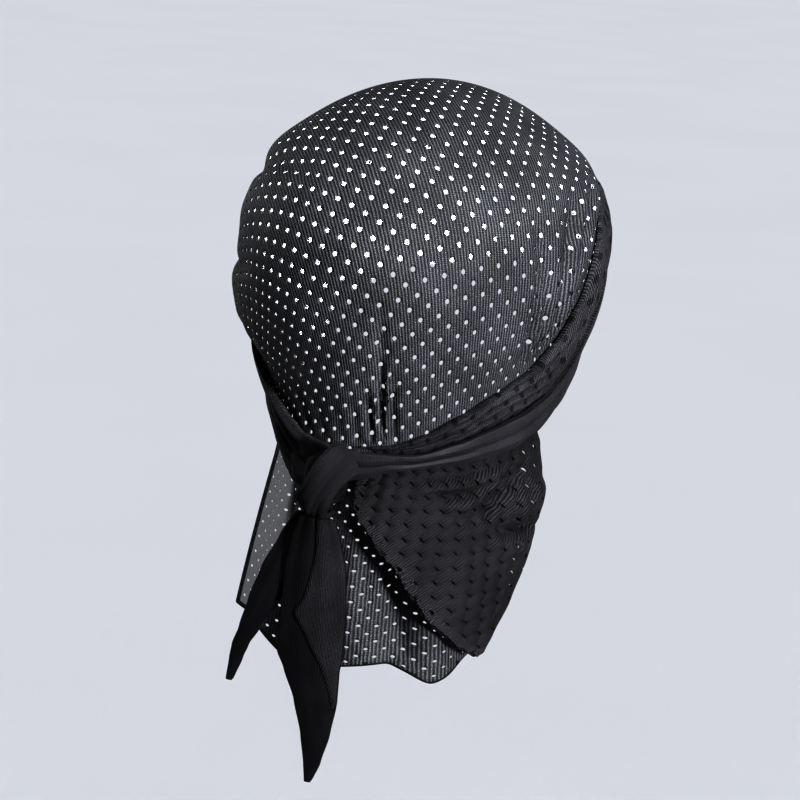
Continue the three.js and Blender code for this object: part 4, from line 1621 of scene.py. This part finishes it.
@dataclass
class Tail:
    """Free end of the knot: a doubled strip of smooth knit that narrows to a point."""

    knot: Knot
    name: str
    node: str
    length: float
    width: float
    cup: float
    set_out: float
    rows: Table
    over: Table | None = None
    twist: float = 17.0
    pleat: float = 0.8

    def raised(self, across: Array, along: Array) -> Array:
        """Share of the height of the ply folded over, from 0 beside it to 1 on it.

        Args:
            across: Share from -1 to 1.
            along: Share of the length from the knot.

        Returns:
            The share at each place.
        """
        if self.over is None:
            return np.zeros_like(across)
        edge = self.over.at("edge", along) * 2.0 - 1.0
        wide = self.width * self.rows.at("width", along) / 2.0
        return smooth((across - edge) * wide / 0.9 + 0.5) * smooth((0.74 - along) / 0.03)

    def place(self, across: Array, along: Array, lift: Array) -> Array:
        """Points of the tail.

        Args:
            across: Share from the right edge to the left edge, from -1 to 1.
            along: Share of the length from the knot.
            lift: Distance out of the middle of the cloth in millimetres.

        Returns:
            The points in millimetres.
        """
        twist = math.radians(self.twist)
        knot = self.knot
        foot = knot.half_height * (1 + knot.lump) + WRAP_THICKNESS
        top = knot.height - foot - PLY_GAP * 3.0
        width = self.rows.at("width", along)
        spread = across * self.width * width / 2.0
        pleat = self.pleat * (0.5 - 0.5 * np.cos(across * 3.0 * math.pi)) * (1 - along) ** 2
        out = self.set_out + lift + pleat - self.cup * width * across ** 2
        out = out + 1.2 * self.raised(across, along)
        centre = knot.centre()
        return np.stack([
            centre[0] + self.length * self.rows.at("side", along)
            - spread * math.cos(twist) - out * math.sin(twist),
            centre[1] + self.length * self.rows.at("back", along)
            - spread * math.sin(twist) + out * math.cos(twist),
            top - self.length * along,
        ], axis=-1)

    def build(self, finish: bpy.types.Material, edge: bpy.types.Material,
              reverse: bpy.types.Material | None = None) -> list[bpy.types.Object]:
        """Build the tail and its edge.

        Args:
            finish: Material of the cloth.
            edge: Material of the edge.
            reverse: Material of the side that is folded over.

        Returns:
            The tail and its edge.
        """
        bm, across, along = grid(64, 160)
        places = np.stack([across * self.width / 10.0, along * self.length / 10.0], axis=-1)
        chart(bm, "Cloth", places)
        half = (TAIL_THICKNESS - 0.4) / 2.0
        across = across * 2.0 - 1.0
        paint(bm, self.raised(across, along), 0.6)
        move_to(bm, self.place(across, along, half))
        bmesh.ops.recalc_face_normals(bm, faces=bm.faces)
        piece = Piece(self.name, self.node, "smooth_knit", finish, 2.0 * half).make(bm)
        if reverse is not None:
            piece.data.materials.append(reverse)
        run = np.linspace(0.03, 0.995, 90)
        line = np.concatenate([
            self.place(np.full_like(run, -1.0), run, 0.0),
            self.place(np.full_like(run, 1.0), run[::-1], 0.0),
        ])
        hem = rolled_edge(Piece(self.name + "_edge", "", "smooth_knit", edge), line, 1.05)
        area = cloth_area(piece)
        return [piece, hem]


LONG_ROWS = Table(
    "along side back width",
    (1.0, -0.017, 0.055, 0.05), (0.93, -0.025, 0.048, 0.2), (0.82, -0.029, 0.042, 0.4),
    (0.69, -0.02, 0.036, 0.64), (0.58, 0.004, 0.034, 0.84), (0.52, 0.016, 0.032, 1.0),
    (0.38, 0.013, 0.024, 1.0), (0.2, 0.013, 0.018, 0.93), (0.08, 0.019, 0.01, 0.72),
    (0.0, 0.024, 0.0, 0.5),
)
LONG_OVER = Table(
    "along edge",
    (0.0, 0.61), (0.113, 0.58), (0.226, 0.46), (0.3, 0.39), (0.36, 0.25), (0.45, 0.49),
    (0.545, 0.72), (0.66, 0.9), (0.72, 1.0), round_off=0.2,
)
SHORT_ROWS = Table(
    "along side back width",
    (1.0, 0.483, 0.13, 0.08), (0.87, 0.451, 0.125, 0.25), (0.79, 0.428, 0.125, 0.34),
    (0.68, 0.376, 0.12, 0.47), (0.5, 0.294, 0.11, 0.78), (0.33, 0.22, 0.085, 0.96),
    (0.15, 0.139, 0.04, 0.98), (0.0, 0.101, 0.0, 0.62),
)


# Stage


@dataclass
class Studio:
    """Camera at the picture's angle, soft lights and a plain pale floor."""

    azimuth: float = 207.0
    elevation: float = 14.0
    distance: float = 1.05
    aim: tuple[float, float, float] = (0.0064, 0.0052, -0.055)
    roll: float = 3.0
    lens: float = 100.0
    room: tuple[float, float, float] = (0.86, 0.88, 0.95)
    backdrop: float = 0.97
    ambient: float = 0.42
    contrast: float = 0.62
    sky_power: float = 1.75
    sky_angle: float = 1.5
    floor_reach: float = 12.0
    floor_height: float = -0.31

    @staticmethod
    def away(azimuth: float, elevation: float) -> Vector:
        """Direction from the cap towards an azimuth and elevation in degrees."""
        az, el = math.radians(azimuth), math.radians(elevation)
        return Vector((math.sin(az) * math.cos(el), -math.cos(az) * math.cos(el), math.sin(el)))

    def camera(self) -> None:
        """Make the camera."""
        az, roll = math.radians(self.azimuth), math.radians(self.roll)
        back = self.away(self.azimuth, self.elevation)
        right = Vector((math.cos(az), math.sin(az), 0.0))
        up = back.cross(right)
        x_axis = right * math.cos(roll) + up * math.sin(roll)
        y_axis = up * math.cos(roll) - right * math.sin(roll)
        data = bpy.data.cameras.new("camera")
        data.lens = self.lens
        data.sensor_width = 36.0
        data.clip_start = 0.05
        data.clip_end = 60.0
        camera = bpy.data.objects.new("camera", data)
        turn = Matrix((x_axis, y_axis, back)).transposed().to_4x4()
        camera.matrix_world = Matrix.Translation(Vector(self.aim) + back * self.distance) @ turn
        bpy.context.scene.collection.objects.link(camera)
        bpy.context.scene.camera = camera

    def lamp(self, name: str, azimuth: float, elevation: float, distance: float, size: float,
             power: float, hidden: bool = False, aim: Vector | None = None) -> bpy.types.Object:
        """Add a soft area light.

        Args:
            name: Its name.
            azimuth: Degrees round the cap.
            elevation: Degrees up.
            distance: Metres from its aim.
            size: Side of the light in metres.
            power: Power in watts.
            hidden: Whether the camera doesn't see it.
            aim: Point it shines at.

        Returns:
            The light.
        """
        away = self.away(azimuth, elevation)
        data = bpy.data.lights.new(name, "AREA")
        data.shape = "SQUARE"
        data.size = size
        data.energy = power
        lamp = bpy.data.objects.new(name, data)
        target = Vector((0.0, 0.0, -0.03)) if aim is None else aim
        lamp.location = target + away * distance
        lamp.rotation_euler = away.to_track_quat("Z", "Y").to_euler()
        lamp.visible_camera = not hidden
        bpy.context.scene.collection.objects.link(lamp)
        return lamp

    def world(self) -> None:
        """Make the pale room, brighter behind the cap than on it."""
        world = bpy.data.worlds.new("pale_room")
        world.use_nodes = True
        tree = world.node_tree
        back = tree.nodes["Background"]
        back.inputs[0].default_value = (*self.room, 1.0)
        path = tree.nodes.new("ShaderNodeLightPath")
        level = tree.nodes.new("ShaderNodeMix")
        level.inputs["A"].default_value = self.ambient
        level.inputs["B"].default_value = self.backdrop
        tree.links.new(path.outputs["Is Camera Ray"], level.inputs["Factor"])
        tree.links.new(level.outputs["Result"], back.inputs[1])
        bpy.context.scene.world = world

    def lamps(self) -> list[bpy.types.Object]:
        """Make the cap's own lamps, two of them inside it."""
        inside, inside_left = Vector((0.015, -0.075, 0.065)), Vector((0.07, -0.03, 0.03))
        return [
            self.lamp("key", 240.0, 8.0, 1.5, 0.25, 300.0),
            self.lamp("top", 220.0, 58.0, 1.6, 0.6, 170.0),
            self.lamp("fill", 80.0, 14.0, 1.8, 1.0, 20.0),
            self.lamp("inner", 200.0, -35.0, 0.11, 0.06, 26.0, True, inside),
            self.lamp("inner_left", 262.0, -20.0, 0.1, 0.06, 7.0, True, inside_left),
        ]

    def ceiling(self) -> bpy.types.Object:
        """Make the soft light of the floor."""
        sky = bpy.data.lights.new("ceiling", "SUN")
        sky.energy = self.sky_power
        sky.angle = self.sky_angle
        sky.use_shadow = False
        ceiling = bpy.data.objects.new("ceiling", sky)
        bpy.context.scene.collection.objects.link(ceiling)
        return ceiling

    def floor(self) -> bpy.types.Object:
        """Make the floor."""
        bm = bmesh.new()
        bmesh.ops.create_grid(bm, x_segments=8, y_segments=8, size=self.floor_reach)
        bmesh.ops.translate(bm, verts=bm.verts, vec=(0.0, 0.0, self.floor_height))
        mesh = bpy.data.meshes.new("floor")
        bm.to_mesh(mesh)
        bm.free()
        mesh.materials.append(FloorFinish().make())
        floor = bpy.data.objects.new("floor", mesh)
        bpy.context.scene.collection.objects.link(floor)
        return floor

    def build(self) -> None:
        """Add the camera, the lights and the floor.

        The cap's own lamps leave the floor out, and the ceiling lights the floor alone.
        """
        self.camera()
        self.world()
        settings = bpy.context.scene.view_settings
        settings.view_transform = "Standard"
        settings.gamma = self.contrast
        lamps = self.lamps()
        ceiling = self.ceiling()
        floor = self.floor()
        unlit = bpy.data.collections.new("pale_floor")
        unlit.objects.link(floor)
        unlit.collection_objects[0].light_linking.link_state = "EXCLUDE"
        for lamp in lamps:
            lamp.light_linking.receiver_collection = unlit
        ground = bpy.data.collections.new("floor_alone")
        ground.objects.link(floor)
        ceiling.light_linking.receiver_collection = ground


def main() -> None:
    """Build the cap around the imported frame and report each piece."""
    logging.basicConfig(level=logging.INFO, format="%(message)s")
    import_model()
    Studio().build()
    dye = {cloth: cloth.value.make() for cloth in Cloth}
    smooth_knit, matt = dye[Cloth.SMOOTH], dye[Cloth.MATT]
    form = CapForm()
    headband, curtain, knot = Headband(form), Curtain(form), Knot(form)
    long_tail = Tail(knot, "long_tail", "tail_long", 121.0, 28.0, 3.2, 2.5, LONG_ROWS, LONG_OVER)
    short_tail = Tail(knot, "short_tail", "tail_short", 82.0, 16.0, 2.0, -2.4, SHORT_ROWS)
    pieces = [
        headband.band(dye[Cloth.GLOSSY_PAINTED_LIGHT]),
        headband.roll(dye[Cloth.GATHERED]),
        Crown(form).build(dye[Cloth.PIERCED]),
        *curtain.build(dye[Cloth.SHEER], smooth_knit),
        *Flap(form, curtain).build(dye[Cloth.BRICK], dye[Cloth.SLUBBY]),
        knot.core(smooth_knit),
        knot.wrap(matt),
        *long_tail.build(smooth_knit, smooth_knit, matt),
        *short_tail.build(smooth_knit, smooth_knit),
    ]
    for piece in pieces:
        LOG.info("%s: %d vertices", piece.name, len(piece.data.vertices))


if __name__ == "__main__":
    main()
